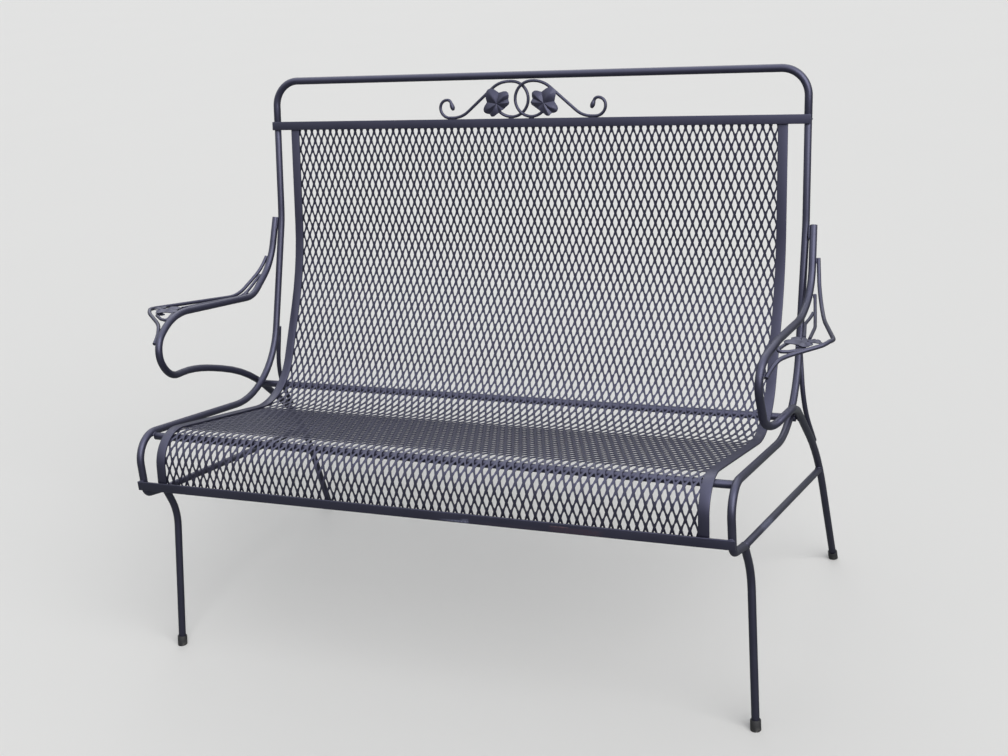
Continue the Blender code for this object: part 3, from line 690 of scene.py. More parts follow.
class SETTEE_OT_flat_bars(BarOperator, bpy.types.Operator):
    """Lay the flat bars across the top of the back and the front of the seat"""

    bl_idname = "settee.flat_bars"
    bl_label = "Flat Bars"

    def build(self, sizes):
        middle, up, front = back_frame()
        bar = flat_bar("top_bar", middle + front * top_bar_reach(sizes), up, front, sizes)
        ride(bar, "flat_finish", "flat_paint", "top_flat_bar")
        seat = Vector((0, FRONT_FACE + sizes.flat_thick / 2 - MID_DEPTH, FRONT_BAR_H))
        bar = flat_bar("seat_front_bar", seat, Vector((0, 0, 1)), Vector((0, -1, 0)), sizes)
        ride(bar, "front_bar_finish", "flat_paint", "front_flat_bar")


def straight_bar(name, start, end, diameter):
    bar = start_bar(name, start, (end - start).normalized(), diameter, 24)
    push(end - start)
    close_ends(bar, STRAIGHT_END)
    return bar


class SETTEE_OT_crossbars(BarOperator, bpy.types.Operator):
    """Lay the two crossbars under the mesh"""

    bl_idname = "settee.crossbars"
    bl_label = "Crossbars"

    def build(self, sizes):
        for name, node in (("seat_crossbar", "front_crossbar"), ("back_crossbar", "rear_crossbar")):
            low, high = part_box(node)
            middle = (low + high) / 2
            half = Vector(((high.x - low.x) / 2, 0, 0))
            bar = straight_bar(name, middle - half, middle + half, sizes.bar)
            ride(bar, "bar_finish", "frame_paint", node)


class SETTEE_OT_braces(BarOperator, bpy.types.Operator):
    """Bend the gusset rods behind the uprights"""

    bl_idname = "settee.braces"
    bl_label = "Rear Braces"

    def build(self, sizes):
        for word, side in SIDES:
            points = mirrored(brace_points(sizes, side), side)
            bar = bent_bar("gusset_" + word, points, (BRACE_R,), sizes.brace, 16)
            ride(bar, "bar_finish", "frame_paint", "rear_brace_" + word)


def brace_points(sizes, side):
    """Down behind the upright, then back to rest on the rear of the leg."""
    up = back_frame()[1]
    rail, way = at(bent_line(rail_points(), RAIL_R), BRACE_TOP_H, 2)
    leg, leg_way = at(arm_halves(side)[1], BRACE_FOOT_H, 2)
    touch = sizes.bar / 2 + sizes.brace / 2 + SEAM
    top = rail + Vector((0, -way.z, way.y)) * touch
    foot = leg + Vector((0, -leg_way.z, leg_way.y)).normalized() * touch
    waist = top - up * ((top.z - BRACE_WAIST_H) / up.z)
    waist.x = (top.x + foot.x) / 2
    return [top, waist, foot]


class SETTEE_OT_stretchers(BarOperator, bpy.types.Operator):
    """Run the stretchers from the front knees to the rear legs, their ends inside the bars"""

    bl_idname = "settee.stretchers"
    bl_label = "Side Stretchers"

    def build(self, sizes):
        for word, side in SIDES:
            knee, hock = stretcher_ends(side)
            sunk = (hock - knee).normalized() * STRETCHER_STOP
            ends = mirrored([knee + sunk, hock - sunk], side)
            bar = straight_bar("stretcher_bar_" + word, *ends, sizes.stretcher)
            ride(bar, "stretcher_finish", "frame_paint", "side_stretcher_" + word)


def stretcher_ends(side):
    return rail_points()[5], at(arm_halves(side)[1], STRETCHER_REAR_H, 2)[0]


class SETTEE_OT_straps(BarOperator, bpy.types.Operator):
    """Lay the straps over the edges of the mesh"""

    bl_idname = "settee.straps"
    bl_label = "Mesh Straps"

    def build(self, sizes):
        line = bent_line(sling_points(), SLING_R)
        for word, side in SIDES:
            lift = sizes.flat_thick / 2 + SEAM + MESH_HALF
            strap = drawn_strip("strap_" + word, line, side * STRAP_X, sizes.strap_width, lift,
                                sizes.flat_thick)
            ride(strap, "flat_finish", "flat_paint", "mesh_strap_" + word)


def drawn_strip(name, line, x, width, lift, thick):
    """A flat strip drawn on along a side-view line, given its thickness and rounded rims."""
    deselect()
    bpy.ops.mesh.primitive_plane_add(size=1)
    strap = added(name)
    edit(strap)
    bpy.ops.mesh.select_all(action="SELECT")
    bpy.ops.transform.resize(value=(width, 1, 1))
    bpy.ops.mesh.select_all(action="DESELECT")
    bpy.ops.object.mode_set(mode="OBJECT")
    raised = lifted(line, lift)
    for vert in strap.data.vertices:
        vert.co = raised[0 if vert.co.y < 0 else 1] + Vector((x + vert.co.x, 0, 0))
        vert.select = (vert.co - raised[1]).length < width + abs(x) and vert.co.y == raised[1].y
    edit(strap)
    for a, b in zip(raised[1:], raised[2:]):
        push(b - a)
    bpy.ops.object.mode_set(mode="OBJECT")
    thicken(strap, thick).use_even_offset = True
    rims = strap.modifiers.new("rolled rims", "BEVEL")
    rims.width = thick / 4
    rims.segments = 2
    rims.limit_method = "ANGLE"
    rims.angle_limit = math.radians(60)
    apply_all(strap)
    return strap


def top_bar_reach(sizes):
    """How far the top flat bar lies in front of the middle of the back."""
    return sizes.hoop / 2 + SEAM + sizes.flat_thick / 2


def lifted(line, distance):
    """A side-view line moved square to itself, to the sitter's side."""
    moved = []
    for i, point in enumerate(line):
        ways = [w.normalized() for w in (point - line[max(i - 1, 0)], line[min(i + 1, len(line) - 1)] - point)
                if w.length > 1e-9]
        way = sum(ways, Vector()).normalized()
        moved.append(point + Vector((0, way.z, -way.y)) * (distance / math.cos(ways[0].angle(ways[-1]) / 2)))
    return moved


class SETTEE_OT_sling(BarOperator, bpy.types.Operator):
    """Expand the mesh and bend it into the sling"""

    bl_idname = "settee.sling"
    bl_label = "Mesh Sling"

    def build(self, sizes):
        line = bent_line(sling_points(), SLING_R)
        marks = runs_to(line)
        pitch = SLING_W / sizes.mesh_columns
        row = marks[-1] / sizes.mesh_rows
        sling = mesh_cell("expanded_mesh", pitch, row, sizes)
        for axis, count, size in ((0, sizes.mesh_columns, pitch), (1, sizes.mesh_rows, row)):
            spread = sling.modifiers.new("repeat", "ARRAY")
            spread.count = count
            spread.use_relative_offset = False
            spread.use_constant_offset = True
            spread.constant_offset_displace = (size, 0, 0) if axis == 0 else (0, size, 0)
            spread.use_merge_vertices = True
            spread.merge_threshold = 0.00005
        apply_all(sling)
        ways = [(b - a).normalized() for a, b in zip(line, line[1:])]
        for vert in sling.data.vertices:
            along = min(max(vert.co.y, 0.0), marks[-1] - 1e-9)
            k = max(i for i, mark in enumerate(marks[:-1]) if mark <= along)
            place = line[k].lerp(line[k + 1], (along - marks[k]) / (marks[k + 1] - marks[k]))
            normal = Vector((0, ways[k].z, -ways[k].y))
            vert.co = place + normal * vert.co.z + Vector((vert.co.x - SLING_W / 2, 0, 0))
        edit(sling)
        turn_out()
        thicken(sling, sizes.sheet)
        apply_all(sling)
        ride(sling, "mesh_finish", "mesh_paint", "sling_mesh")


def mesh_cell(name, pitch, row, sizes):
    """One repeat of the mesh, drawn flat: a bond in the middle and a quarter bond at each corner."""
    deselect()
    bpy.ops.mesh.primitive_plane_add(size=1, location=(pitch / 2, row / 2, 0))
    cell = added(name)
    bpy.ops.object.transform_apply(location=True, rotation=True, scale=True)
    side = sizes.bond / 2
    rise = side * row / pitch
    waist = Vector((row, -pitch, 0)).normalized() * sizes.strand / 2
    tilt = sizes.strand * 0.30
    centre = Vector((pitch / 2, row / 2, 0))
    verts, faces = [], []

    def vert(x, y, z):
        verts.append((x, y, z))
        return len(verts) - 1

    left = vert(centre.x - side, centre.y, 0)
    right = vert(centre.x + side, centre.y, 0)
    top = vert(centre.x, centre.y + rise, -tilt)
    foot = vert(centre.x, centre.y - rise, tilt)
    for sx in (-1, 1):
        for sy in (-1, 1):
            cx, cy = centre.x + sx * pitch / 2, centre.y + sy * row / 2
            near_side = left if sx < 0 else right
            near_end = top if sy > 0 else foot
            corner = vert(cx, cy, 0)
            on_row = vert(cx - sx * side, cy, 0)
            on_column = vert(cx, cy - sy * rise, sy * tilt)
            # The strand is narrowest half way to the corner
            x, y = (centre.x + cx) / 2, (centre.y + cy) / 2
            outer = vert(x + sx * waist.x, y + sy * waist.y, sy * tilt / 2)
            inner = vert(x - sx * waist.x, y - sy * waist.y, -sy * tilt / 2)
            for face in ([near_side, near_end, inner, outer], [outer, inner, on_row, on_column],
                         [on_column, on_row, corner]):
                faces.append(face if sx * sy < 0 else face[::-1])
    faces.append([left, foot, right, top])
    mesh = cell.data
    mesh.clear_geometry()
    mesh.from_pydata(verts, [], faces)
    mesh.update()
    return cell


# Ornaments


def scroll_rod(name, start, way, moves, normal, diameter):
    """A rod drawn in one plane by straights and arcs, and forged to a bud at its end."""
    rod = start_bar(name, start, way, diameter, 14)
    here = start.copy()
    for size, turn in moves:
        if turn == 0:
            push(way * size)
            here += way * size
            continue
        left = math.copysign(1, turn)
        centre = here + normal.cross(way) * size * left
        angle = math.radians(abs(turn))
        count = max(3, math.ceil(abs(turn) / ARC_STEP))
        bpy.ops.mesh.spin(steps=count, angle=angle, center=centre, axis=-normal * left)
        swing = Matrix.Rotation(angle * left, 3, normal)
        here = centre + swing @ (here - centre)
        way = swing @ way
    for run, share in SCROLL_TIP:
        push(way * run)
        here += way * run
        bpy.ops.transform.resize(value=(share, share, share), center_override=here)
    close_ends(rod)
    return rod


# Runs of the bud at the end of a scroll, each with the share that it swells or shrinks by
SCROLL_TIP = ((0.0015, 1.15), (0.002, 1.2), (0.0025, 1.12), (0.003, 1.0), (0.0025, 0.82), (0.002, 0.58))


class SETTEE_OT_crest_scrolls(BarOperator, bpy.types.Operator):
    """Wind the two crest scrolls through each other"""

    bl_idname = "settee.crest_scrolls"
    bl_label = "Crest Scrolls"

    def build(self, sizes):
        middle, up, front = back_frame()
        reach = top_bar_reach(sizes)
        rise = sizes.flat_height / 2 + SEAM + sizes.scroll / 2 + RING_R
        angle = math.radians(RING_START)
        spot = Vector((-RING_X + RING_R * math.cos(angle), rise + RING_R * math.sin(angle)))
        way = Vector((1, 0, 0)) * -math.sin(angle) + up * math.cos(angle)
        for word, side in SIDES:
            start = middle + up * spot.y + front * reach + Vector((spot.x, 0, 0))
            rod = scroll_rod("crest_scroll_rod_" + word, start, way, CREST_MOVES, front, sizes.scroll)
            if word == "left":
                step_behind(rod, -front * (sizes.scroll + SEAM))
            else:
                mirror_over(rod)
            ride(rod, "rod_finish", "ornament_paint", "crest_scroll_" + word)


def step_behind(rod, step):
    """Sets the part of a scroll past its crossing behind the other one."""
    for vert in rod.data.vertices:
        share = min(max((vert.co.x + 0.040) / 0.024, 0), 1)
        vert.co += step * share * share * (3 - 2 * share)


def mirror_over(obj):
    only(obj)
    bpy.ops.transform.mirror(constraint_axis=(True, False, False), center_override=(0, 0, 0))
    bpy.ops.object.transform_apply(location=True, rotation=True, scale=True)
    edit(obj)
    turn_out()


# The rim from the tip to the stalk: (degrees from the tip, share of the radius)
LEAF_RIM = ((0, 1.0), (10, 0.97), (20, 0.88), (32, 0.74), (46, 0.64), (56, 0.70), (66, 0.82), (75, 0.91),
            (84, 0.93), (94, 0.86), (104, 0.74), (112, 0.75), (120, 0.79), (130, 0.74), (142, 0.60),
            (158, 0.52), (176, 0.48))
# Lobes are folded up along their veins and down between them: (degrees from the tip, height share)
LEAF_FOLDS = ((0, 1.0), (46, 0.0), (84, 1.0), (104, 0.1), (120, 0.9), (158, 0.0), (180, 0.35))


def ivy_leaf(name, radius, frame_matrix, thick):
    """A stamped ivy leaf: a disc whose rim is drawn out to lobes, creased along its veins."""
    rim = list(LEAF_RIM) + [(360 - a, r) for a, r in reversed(LEAF_RIM[1:])]
    deselect()
    bpy.ops.mesh.primitive_circle_add(vertices=len(rim), radius=1, fill_type="TRIFAN")
    leaf = added(name)
    edit(leaf, "FACE")
    bpy.ops.mesh.select_all(action="SELECT")
    bpy.ops.mesh.subdivide(number_cuts=3)
    bpy.ops.object.mode_set(mode="OBJECT")
    for vert in leaf.data.vertices:
        out = vert.co.length
        if out < 1e-6:
            continue
        turn = math.degrees(math.atan2(vert.co.y, vert.co.x)) % 360
        k = max(i for i, (a, _) in enumerate(rim) if a <= turn + 1e-6)
        a, reach = rim[k]
        b, next_reach = rim[(k + 1) % len(rim)]
        b = b or 360
        share = (turn - a) / (b - a)
        chord = math.cos(math.pi / len(rim))
        reach = (reach + (next_reach - reach) * share) * min(out / chord, 1.0)
        fold = min(turn, 360 - turn)
        folds = zip(LEAF_FOLDS, LEAF_FOLDS[1:])
        (a, low), (b, high) = next(pair for pair in folds if fold <= pair[1][0] + 1e-6)
        crease = (low + (high - low) * (fold - a) / (b - a)) * math.sin(2.6 * min(reach, 1.0))
        vert.co = Vector((reach * math.cos(math.radians(turn)), reach * math.sin(math.radians(turn)),
                          0.13 * crease - 0.17 * reach * reach)) * radius
    thicken(leaf, thick)
    apply_all(leaf)
    leaf.matrix_world = frame_matrix
    return leaf


class SETTEE_OT_crest_leaves(BarOperator, bpy.types.Operator):
    """Stamp the ivy leaves of the crest"""

    bl_idname = "settee.crest_leaves"
    bl_label = "Crest Leaves"

    def build(self, sizes):
        middle, up, front = back_frame()
        lift = top_bar_reach(sizes) + sizes.scroll / 2 + SEAM + sizes.leaf_sheet / 2 + CREST_LEAF_LIFT
        place = middle + up * CREST_LEAF_RISE + front * lift + Vector((CREST_LEAF_X, 0, 0))
        turned = Matrix((Vector((1, 0, 0)), up, front)).transposed().to_4x4()
        for word, side in SIDES:
            spin = Matrix.Rotation(math.radians(CREST_LEAF_TURN), 4, "Z")
            leaf = ivy_leaf("ivy_leaf_" + word, CREST_LEAF_R, Matrix.Translation(place) @ turned @ spin,
                            sizes.leaf_sheet)
            if side > 0:
                mirror_over(leaf)
            ride(leaf, "leaf_finish", "leaf_paint", "crest_leaf_" + word, crisp=18)


def plan_line(points, radii):
    """Plan points, (distance outside the rail, depth), as a fine line."""
    flat = bent_line([Vector((out, depth, 0)) for out, depth in points], radii, math.radians(8))
    return finely(flat, 0.008)


def on_arm(points, arm, fall):
    """Plan points lifted to the height of the arm at their depth, lower by the fall for each metre out."""
    line = []
    for p in points:
        height = at(arm, p.y - MID_DEPTH, 1)[0].z - fall * max(p.x - (ARM_X - RAIL_X) - BAR_R, 0)
        line.append(Vector((RAIL_X + p.x, p.y - MID_DEPTH, height)))
    return line


def drawn_rod(name, line, diameter, sides=14, shares=None):
    """A thin rod drawn along a freely curved line with a bevelled curve, then made a mesh."""
    deselect()
    bpy.ops.curve.primitive_nurbs_path_add()
    path = added(name)
    path.data.splines.clear()
    spline = path.data.splines.new("POLY")
    spline.points.add(len(line) - 1)
    marks = runs_to(line)
    for point, place, mark in zip(spline.points, line, marks):
        point.co = (*place, 1)
        point.radius = shares(mark, marks[-1] - mark) if shares else 1.0
    path.data.dimensions = "3D"
    path.data.bevel_depth = diameter / 2
    path.data.bevel_resolution = sides // 2 - 2
    path.data.use_fill_caps = True
    only(path)
    bpy.ops.object.convert(target="MESH")
    rod = bpy.context.object
    edit(rod)
    bpy.ops.mesh.select_all(action="SELECT")
    bpy.ops.mesh.remove_doubles(threshold=1e-6)
    turn_out()
    return rod


def bud_end(_, left):
    """A rod forged to a small bud at its far end."""
    share = min(left / 0.012, 1.0)
    return 0.4 + 0.6 * share + 1.1 * math.sin(math.pi * share) * (1 - share)


def weld_swell(done, left):
    """A bead that swells from both ends and ripples as it was laid."""
    ends = min(done / 0.002, left / 0.002, 1.0)
    return (0.35 + 0.65 * ends) * (1 + 0.14 * math.sin(done / 0.0004))


def vine_line(sizes, side):
    """The vine's way from the bar near its top, out, and then in and down to the curl."""
    arm = arm_halves(side)[0]
    touch = sizes.bar / 2 + sizes.vine / 2 + SEAM
    ends = (at(arm, VINE_REAR[side] - MID_DEPTH, 1)[0], at(arm[::-1], VINE_FOOT_H, 2)[0])
    start, foot = ((p.x - RAIL_X + touch, p.y + MID_DEPTH) for p in ends)
    line = on_arm(plan_line((start,) + VINE + (foot,), VINE_R), arm, 0)
    marks = [(foot[1], VINE_FOOT_H), (VINE[2][1], VINE_RETURN_H),
             (VINE[1][1], at(arm, VINE[1][1] - MID_DEPTH, 1)[0].z)]
    for point in line:
        for (near, low), (far, high) in zip(marks, marks[1:]):
            if near <= point.y + MID_DEPTH < far:
                point.z = low + (high - low) * (point.y + MID_DEPTH - near) / (far - near)
    return line


class SETTEE_OT_arm_vines(BarOperator, bpy.types.Operator):
    """Bend the outer vine of each arm"""

    bl_idname = "settee.arm_vines"
    bl_label = "Arm Vines"

    def build(self, sizes):
        for word, side in SIDES:
            rod = drawn_rod("vine_" + word, mirrored(vine_line(sizes, side), side), sizes.vine, 16)
            ride(rod, "rod_finish", "ornament_paint", "arm_vine_" + word)


class SETTEE_OT_arm_stems(BarOperator, bpy.types.Operator):
    """Lay the stem and the twig inside each vine"""

    bl_idname = "settee.arm_stems"
    bl_label = "Arm Stems"

    def build(self, sizes):
        for word, side in SIDES:
            for name, points, radius in (("stem_", STEM, STEM_R), ("twig_", TWIG, TWIG_R)):
                line = on_arm(plan_line(points, (radius,)), arm_halves(side)[0], ORNAMENT_FALL[side])
                rod = drawn_rod(name + word, mirrored(line, side), sizes.scroll)
                ride(rod, "rod_finish", "ornament_paint", "arm_" + name + word)


class SETTEE_OT_arm_scrolls(BarOperator, bpy.types.Operator):
    """Curl the small scroll in front of each stem"""

    bl_idname = "settee.arm_scrolls"
    bl_label = "Arm Scrolls"

    def build(self, sizes):
        for word, side in SIDES:
            line = on_arm(plan_line(CURL, CURL_R), arm_halves(side)[0], ORNAMENT_FALL[side])
            rod = drawn_rod("arm_curl_" + word, mirrored(line, side), sizes.scroll, shares=bud_end)
            ride(rod, "rod_finish", "ornament_paint", "arm_scroll_" + word)


class SETTEE_OT_arm_leaves(BarOperator, bpy.types.Operator):
    """Stamp the leaf and the bud on each arm"""

    bl_idname = "settee.arm_leaves"
    bl_label = "Arm Leaves"

    def build(self, sizes):
        for word, side in SIDES:
            arm = arm_halves(side)[0]
            fall = ORNAMENT_FALL[side]
            lean = Matrix.Rotation(math.atan(fall), 4, "Y")
            lift = sizes.scroll / 2 - sizes.leaf_sheet / 2
            for name, node, radius, (out, depth), turn in ARM_LEAVES:
                way = at(arm, depth - MID_DEPTH, 1)[1]
                lift += SEAM + sizes.leaf_sheet + ARM_LEAF_SEAT * radius
                place = on_arm([Vector((out, depth, 0))], arm, fall)[0] + Vector((0, 0, lift))
                turned = (Matrix.Translation(place) @ lean
                          @ Matrix.Rotation(math.atan2(way.z, way.y) + math.pi, 4, "X")
                          @ Matrix.Rotation(math.radians(turn), 4, "Z"))
                leaf = ivy_leaf(name + word, radius, turned, sizes.leaf_sheet)
                if side < 0:
                    mirror_over(leaf)
                ride(leaf, "leaf_finish", "leaf_paint", node + word, crisp=18)


class SETTEE_OT_glides(BarOperator, bpy.types.Operator):
    """Push the moulded glides on the four feet"""

    bl_idname = "settee.glides"
    bl_label = "Foot Glides"

    def build(self, sizes):
        for place, points in (("front", rail_points()), ("rear", arm_points(1))):
            foot = points[-1]
            way = (points[-2] - foot).normalized()
            for word, side in SIDES:
                glide = cup("glide_%s_%s" % (place, word), Vector((side * foot.x, foot.y, foot.z)),
                            Vector((side * way.x, way.y, way.z)), sizes.glide, sizes.bar)
                ride(glide, "glide_finish", "glide_plastic", "foot_glide_%s_%s" % (place, word))


def cup(name, foot, way, outer, bore):
    """A cup drawn up from its sole, rolled at the rim and sunk to its floor, its sole cut level."""
    glide = start_bar(name, foot - way * outer, way, outer, 28)
    bpy.ops.mesh.edge_face_add()
    push(way * (outer + 0.0155))
    for share, run in ((0.97, 0.0005), (bore / outer / 0.97 + 0.06, 0.0), (0.96, -0.0004)):
        push(way * run)
        bpy.ops.transform.resize(value=(share, share, share), center_override=foot + way * 0.016)
    push(way * -0.0095)
    bpy.ops.mesh.select_all(action="SELECT")
    bpy.ops.mesh.bisect(plane_co=(0, 0, 0), plane_no=(0, 0, -1), clear_outer=True, use_fill=True)
    bpy.ops.mesh.bevel(offset=0.0005, segments=2, affect="EDGES")
    turn_out()
    return glide


# Weld seams


def ring_where(start, way, radius, other, other_radius):
    """The line where the skin of a bar that runs on from start meets the skin of another bar."""
    side = way.orthogonal().normalized()
    over = way.cross(side)
    runs = [(a, b) for a, b in zip(other, other[1:]) if away(start, a, b) < 0.06]
    hits = []
    for k in range(32):
        turn = math.pi * k / 16
        skin = start + side * radius * math.cos(turn) + over * radius * math.sin(turn)
        reached = (skin + way * step * 0.0003 for step in range(90))
        hits.append(next((p for p in reached if min(away(p, a, b) for a, b in runs) <= other_radius), None))
    gap = next((k for k, point in enumerate(hits) if point is None), 0)
    ring = [point for point in hits[gap:] + hits[:gap] if point]
    return ring if None in hits else ring + ring[:1]


def away(point, a, b):
    share = min(max((point - a).dot(b - a) / (b - a).length_squared, 0), 1)
    return (point - a.lerp(b, share)).length


def grooves(start, way, out, apart, length):
    """The two lines along a contact, one in the groove on each side of it."""
    step = way.cross(out).normalized() * apart
    return [[start + shift, start + way * length + shift] for shift in (step, -step)]


class SETTEE_OT_welds(BarOperator, bpy.types.Operator):
    """Run the weld beads where bars, rods and straps meet"""

    bl_idname = "settee.welds"
    bl_label = "Weld Beads"

    def build(self, sizes):
        for word, side in SIDES:
            beads = []
            for width, lines in ((BAR_BEAD, bar_seams(sizes, side)), (ROD_BEAD, rod_seams(sizes, side))):
                for line in lines:
                    name = "bead_%s_%d" % (word, len(beads))
                    beads.append(drawn_rod(name, finely(mirrored(line, side)), width, 10, weld_swell))
            deselect()
            for each in beads:
                each.select_set(True)
            bpy.context.view_layer.objects.active = beads[0]
            bpy.ops.object.join()
            beads[0].name = "weld_beads_" + word
            ride(beads[0], "weld_finish", "frame_paint")


def bar_seams(sizes, side):
    """Where the bars of one side are welded, as lines of its right-hand twin."""
    half = sizes.bar / 2
    rail = bent_line(rail_points(), RAIL_R)
    arm, leg = arm_halves(side)
    middle, up, front = back_frame()
    out = Vector((1, 0, 0))
    lines = []
    for node, bar in (("front_crossbar", rail), ("rear_crossbar", leg)):
        low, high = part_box(node)
        end = Vector((high.x - 0.010, (low.y + high.y) / 2, (low.z + high.z) / 2))
        lines.append(ring_where(end, out, half, bar, half))
    knee, hock = stretcher_ends(side)
    run = (hock - knee).normalized()
    lines.append(ring_where(knee + run * 0.018, -run, sizes.stretcher / 2, rail, half))
    lines.append(ring_where(hock - run * 0.018, run, sizes.stretcher / 2, leg, half))
    top = arm[0]
    lines += grooves(Vector((RAIL_X + half, top.y, top.z)), (arm[1] - top).normalized(), out, 0.0036, 0.024)
    near = [[p for p in finely(line, 0.002) if 0.34 < p.z < 0.43 and p.y > 0] for line in (leg, rail)]
    pairs = ((a, b) for a in near[0] for b in near[1])
    crossing = min(pairs, key=lambda pair: (pair[0].yz - pair[1].yz).length)
    spot = (crossing[0] + crossing[1]) / 2
    lines.append([spot + Vector((0, math.cos(t), math.sin(t))) * CROSSING_BEAD_R
                  for t in (k * math.pi / 12 for k in range(25))])
    lines.append([middle + out * RAIL_X + (front * math.cos(t) + out * math.sin(t)) * half
                  for t in (math.radians(60 + 10 * k) for k in range(25))])
    corner = Vector((RAIL_X, FRONT_FACE + sizes.flat_thick - MID_DEPTH,
                     FRONT_BAR_H + sizes.flat_height / 2))
    lines.append([corner - out * 0.004, corner + out * 0.004])
    top_corner = middle + out * RAIL_X + front * half + up * sizes.flat_height / 2
    for seat, fall in ((corner, Vector((0, 0, -1))), (top_corner, -up)):
        lines += grooves(seat, fall, Vector((0, -1, 0)), 0.0034, sizes.flat_height)
    return lines


def rod_seams(sizes, side):
    """Where the thin rods are welded on."""
    arm = arm_halves(side)[0]
    out = Vector((1, 0, 0))
    top, waist, foot = brace_points(sizes, side)
    back = Vector((0, 1, 0))
    lines = grooves(top - back * sizes.brace / 2, (waist - top).normalized(), back, 0.0030, 0.016)
    lines += grooves(foot - back * sizes.brace / 2, (waist - foot).normalized(), back, 0.0030, 0.014)
    vine = vine_line(sizes, side)
    for end, after in ((vine[0], vine[1]), (vine[-1], vine[-2])):
        lines += grooves(end - out * sizes.vine / 2, (after - end).normalized(), out, 0.0024, 0.009)
    stem = on_arm(plan_line(STEM, (STEM_R,)), arm, ORNAMENT_FALL[side])
    lines += grooves(stem[0] - out * sizes.scroll / 2, (stem[1] - stem[0]).normalized(), out, 0.0018, 0.006)
    middle, up, front = back_frame()
    seat = middle + up * sizes.flat_height / 2 + front * top_bar_reach(sizes)
    for x in (RING_X, HOOK_FOOT_X):
        for shift in (-1, 1):
            spot = seat + out * x + front * shift * 0.0012
            lines.append([spot - out * 0.0045, spot + out * 0.0045])
    return lines


# Lights: name, place they shine from, spread in degrees and strength
SUNS = (("key_light", (2.2, -1.9, 2.1), 60, 2.4), ("rim_light", (-1.2, 2.9, 2.8), 40, 0.35))
# Strength of the sky at the horizon and overhead, as light and as the paint mirrors it
SKY_LIGHT = (0.22, 0.62)
SKY_MIRRORED = (0.15, 1.9)
GROUND_MIRRORED = (0.16, 0.17, 0.16, 1)


class SETTEE_OT_stage(bpy.types.Operator):
    """Set the pale floor, the soft lights and the camera at the photograph's angle"""

    bl_idname = "settee.stage"
    bl_label = "Stage"
    bl_options = {"REGISTER", "UNDO"}

    def execute(self, context):
        colours = context.scene.settee_colours
        deselect()
        bpy.ops.mesh.primitive_circle_add(vertices=96, radius=30, fill_type="NGON", location=(0, 0, 0))
        floor = context.object
        floor.name = "studio_floor"
        made, tree, shader = new_tree("studio_floor")
        place = object_place(tree)
        cloud = noise(tree, place, 1.5, 4.0)
        tone = tuple(c * 0.985 for c in colours.floor)
        glossy = put(tree, "ShaderNodeLightPath").outputs["Is Glossy Ray"]
        lit = mixed(tree, cloud, (*tone, 1), (*colours.floor, 1))
        tree.links.new(mixed(tree, glossy, lit, GROUND_MIRRORED), shader.inputs["Base Color"])
        shader.inputs["Roughness"].default_value = 0.85
        shader.inputs["Specular IOR Level"].default_value = 0.2
        floor.data.materials.append(made)
        for name, place, spread, power in SUNS:
            bpy.ops.object.light_add(type="SUN", location=place)
            lamp = context.object
            lamp.name = name
            lamp.data.angle = math.radians(spread)
            lamp.data.energy = power
            lamp.rotation_euler = (-Vector(place)).to_track_quat("-Z", "Y").to_euler()
        world = bpy.data.worlds.new("studio_air")
        context.scene.world = world
        world.use_nodes = True
        tree = world.node_tree
        way = put(tree, "ShaderNodeTexCoord").outputs["Generated"]
        rise = put(tree, "ShaderNodeSeparateXYZ", Vector=way).outputs["Z"]
        air = tree.nodes["Background"]
        air.inputs["Color"].default_value = (0.93, 0.96, 1.0, 1)
        glossy = put(tree, "ShaderNodeLightPath").outputs["Is Glossy Ray"]
        plain = scaled(tree, rise, 0.0, 1.0, *SKY_LIGHT)
        mirrored_sky = scaled(tree, rise, 0.0, 1.0, *SKY_MIRRORED)
        tree.links.new(mixed(tree, glossy, plain, mirrored_sky), air.inputs["Strength"])
        pale = put(tree, "ShaderNodeBackground", Color=(0.76, 0.76, 0.76, 1), Strength=1.0)
        seen = put(tree, "ShaderNodeLightPath").outputs["Is Camera Ray"]
        both = put(tree, "ShaderNodeMixShader", Fac=seen)
        tree.links.new(air.outputs[0], both.inputs[1])
        tree.links.new(pale.outputs[0], both.inputs[2])
        tree.links.new(both.outputs[0], tree.nodes["World Output"].inputs["Surface"])
        aim_camera(context.scene)
        context.scene.view_settings.view_transform = "Standard"
        return {"FINISHED"}


def aim_camera(scene):
    """The camera where the photograph was taken, from its worked-out turn, tilt and roll."""
    yaw, pitch, roll = 0.4245, 0.3541, 0.0959
    c, s = math.cos(yaw), math.sin(yaw)
    turn = Matrix(((c, s, 0), (-s, c, 0), (0, 0, 1)))
    c, s = math.cos(pitch), math.sin(pitch)
    tilt = Matrix(((1, 0, 0), (0, c, -s), (0, s, c)))
    c, s = math.cos(roll), math.sin(roll)
    lean = Matrix(((c, 0, -s), (0, 1, 0), (s, 0, c)))
    right, ahead, up = lean @ tilt @ turn
    bpy.ops.object.camera_add(location=(0.9551, -2.0312, 1.2481))
    camera = bpy.context.object
    camera.name = "photo_camera"
    camera.rotation_euler = Matrix((right, up, -ahead)).transposed().to_euler()
    camera.data.lens = 52.24
    camera.data.sensor_width = 36.0
    camera.data.clip_end = 100
    scene.camera = camera


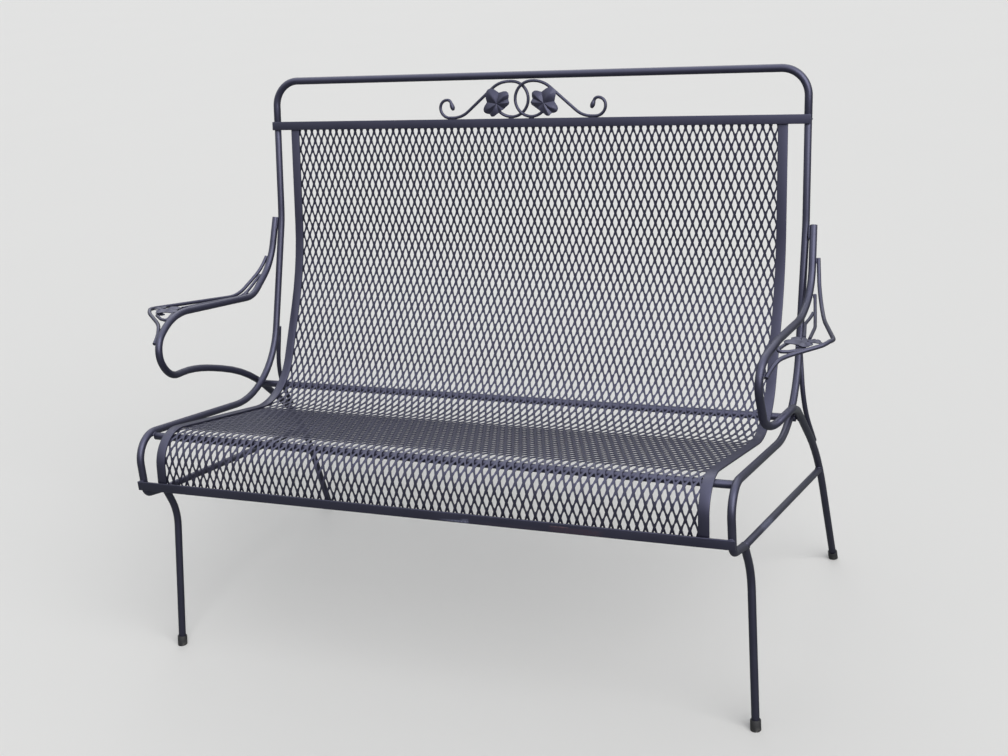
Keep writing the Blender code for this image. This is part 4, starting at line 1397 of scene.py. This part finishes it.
class SETTEE_PT_panel(bpy.types.Panel):
    """Lists the settee's sizes, colours and pieces"""

    bl_idname = "SETTEE_PT_panel"
    bl_label = "Patio Settee"
    bl_space_type = "VIEW_3D"
    bl_region_type = "UI"
    bl_category = "Settee"

    def draw(self, context):
        layout = self.layout
        for group_of in (context.scene.settee_sizes, context.scene.settee_colours):
            box = layout.box()
            for key in group_of.__annotations__:
                box.prop(group_of, key)
        column = layout.column(align=True)
        for operator in OPERATORS:
            column.operator(operator.bl_idname)


OPERATORS = (
    SETTEE_OT_rails,
    SETTEE_OT_arms,
    SETTEE_OT_hoop,
    SETTEE_OT_flat_bars,
    SETTEE_OT_crossbars,
    SETTEE_OT_braces,
    SETTEE_OT_stretchers,
    SETTEE_OT_straps,
    SETTEE_OT_sling,
    SETTEE_OT_crest_scrolls,
    SETTEE_OT_crest_leaves,
    SETTEE_OT_arm_vines,
    SETTEE_OT_arm_stems,
    SETTEE_OT_arm_scrolls,
    SETTEE_OT_arm_leaves,
    SETTEE_OT_glides,
    SETTEE_OT_welds,
    SETTEE_OT_stage,
)
CLASSES = (SetteeSizes, SetteeColours) + OPERATORS + (SETTEE_PT_panel,)


def register():
    for cls in CLASSES:
        bpy.utils.register_class(cls)
    bpy.types.Scene.settee_sizes = PointerProperty(type=SetteeSizes)
    bpy.types.Scene.settee_colours = PointerProperty(type=SetteeColours)


def unregister():
    del bpy.types.Scene.settee_colours
    del bpy.types.Scene.settee_sizes
    for cls in reversed(CLASSES):
        bpy.utils.unregister_class(cls)


def main():
    register()
    bpy.ops.settee.rails()
    bpy.ops.settee.arms()
    bpy.ops.settee.hoop()
    bpy.ops.settee.flat_bars()
    bpy.ops.settee.crossbars()
    bpy.ops.settee.braces()
    bpy.ops.settee.stretchers()
    bpy.ops.settee.straps()
    bpy.ops.settee.sling()
    bpy.ops.settee.crest_scrolls()
    bpy.ops.settee.crest_leaves()
    bpy.ops.settee.arm_vines()
    bpy.ops.settee.arm_stems()
    bpy.ops.settee.arm_scrolls()
    bpy.ops.settee.arm_leaves()
    bpy.ops.settee.glides()
    bpy.ops.settee.welds()
    bpy.ops.settee.stage()


if __name__ == "__main__":
    main()
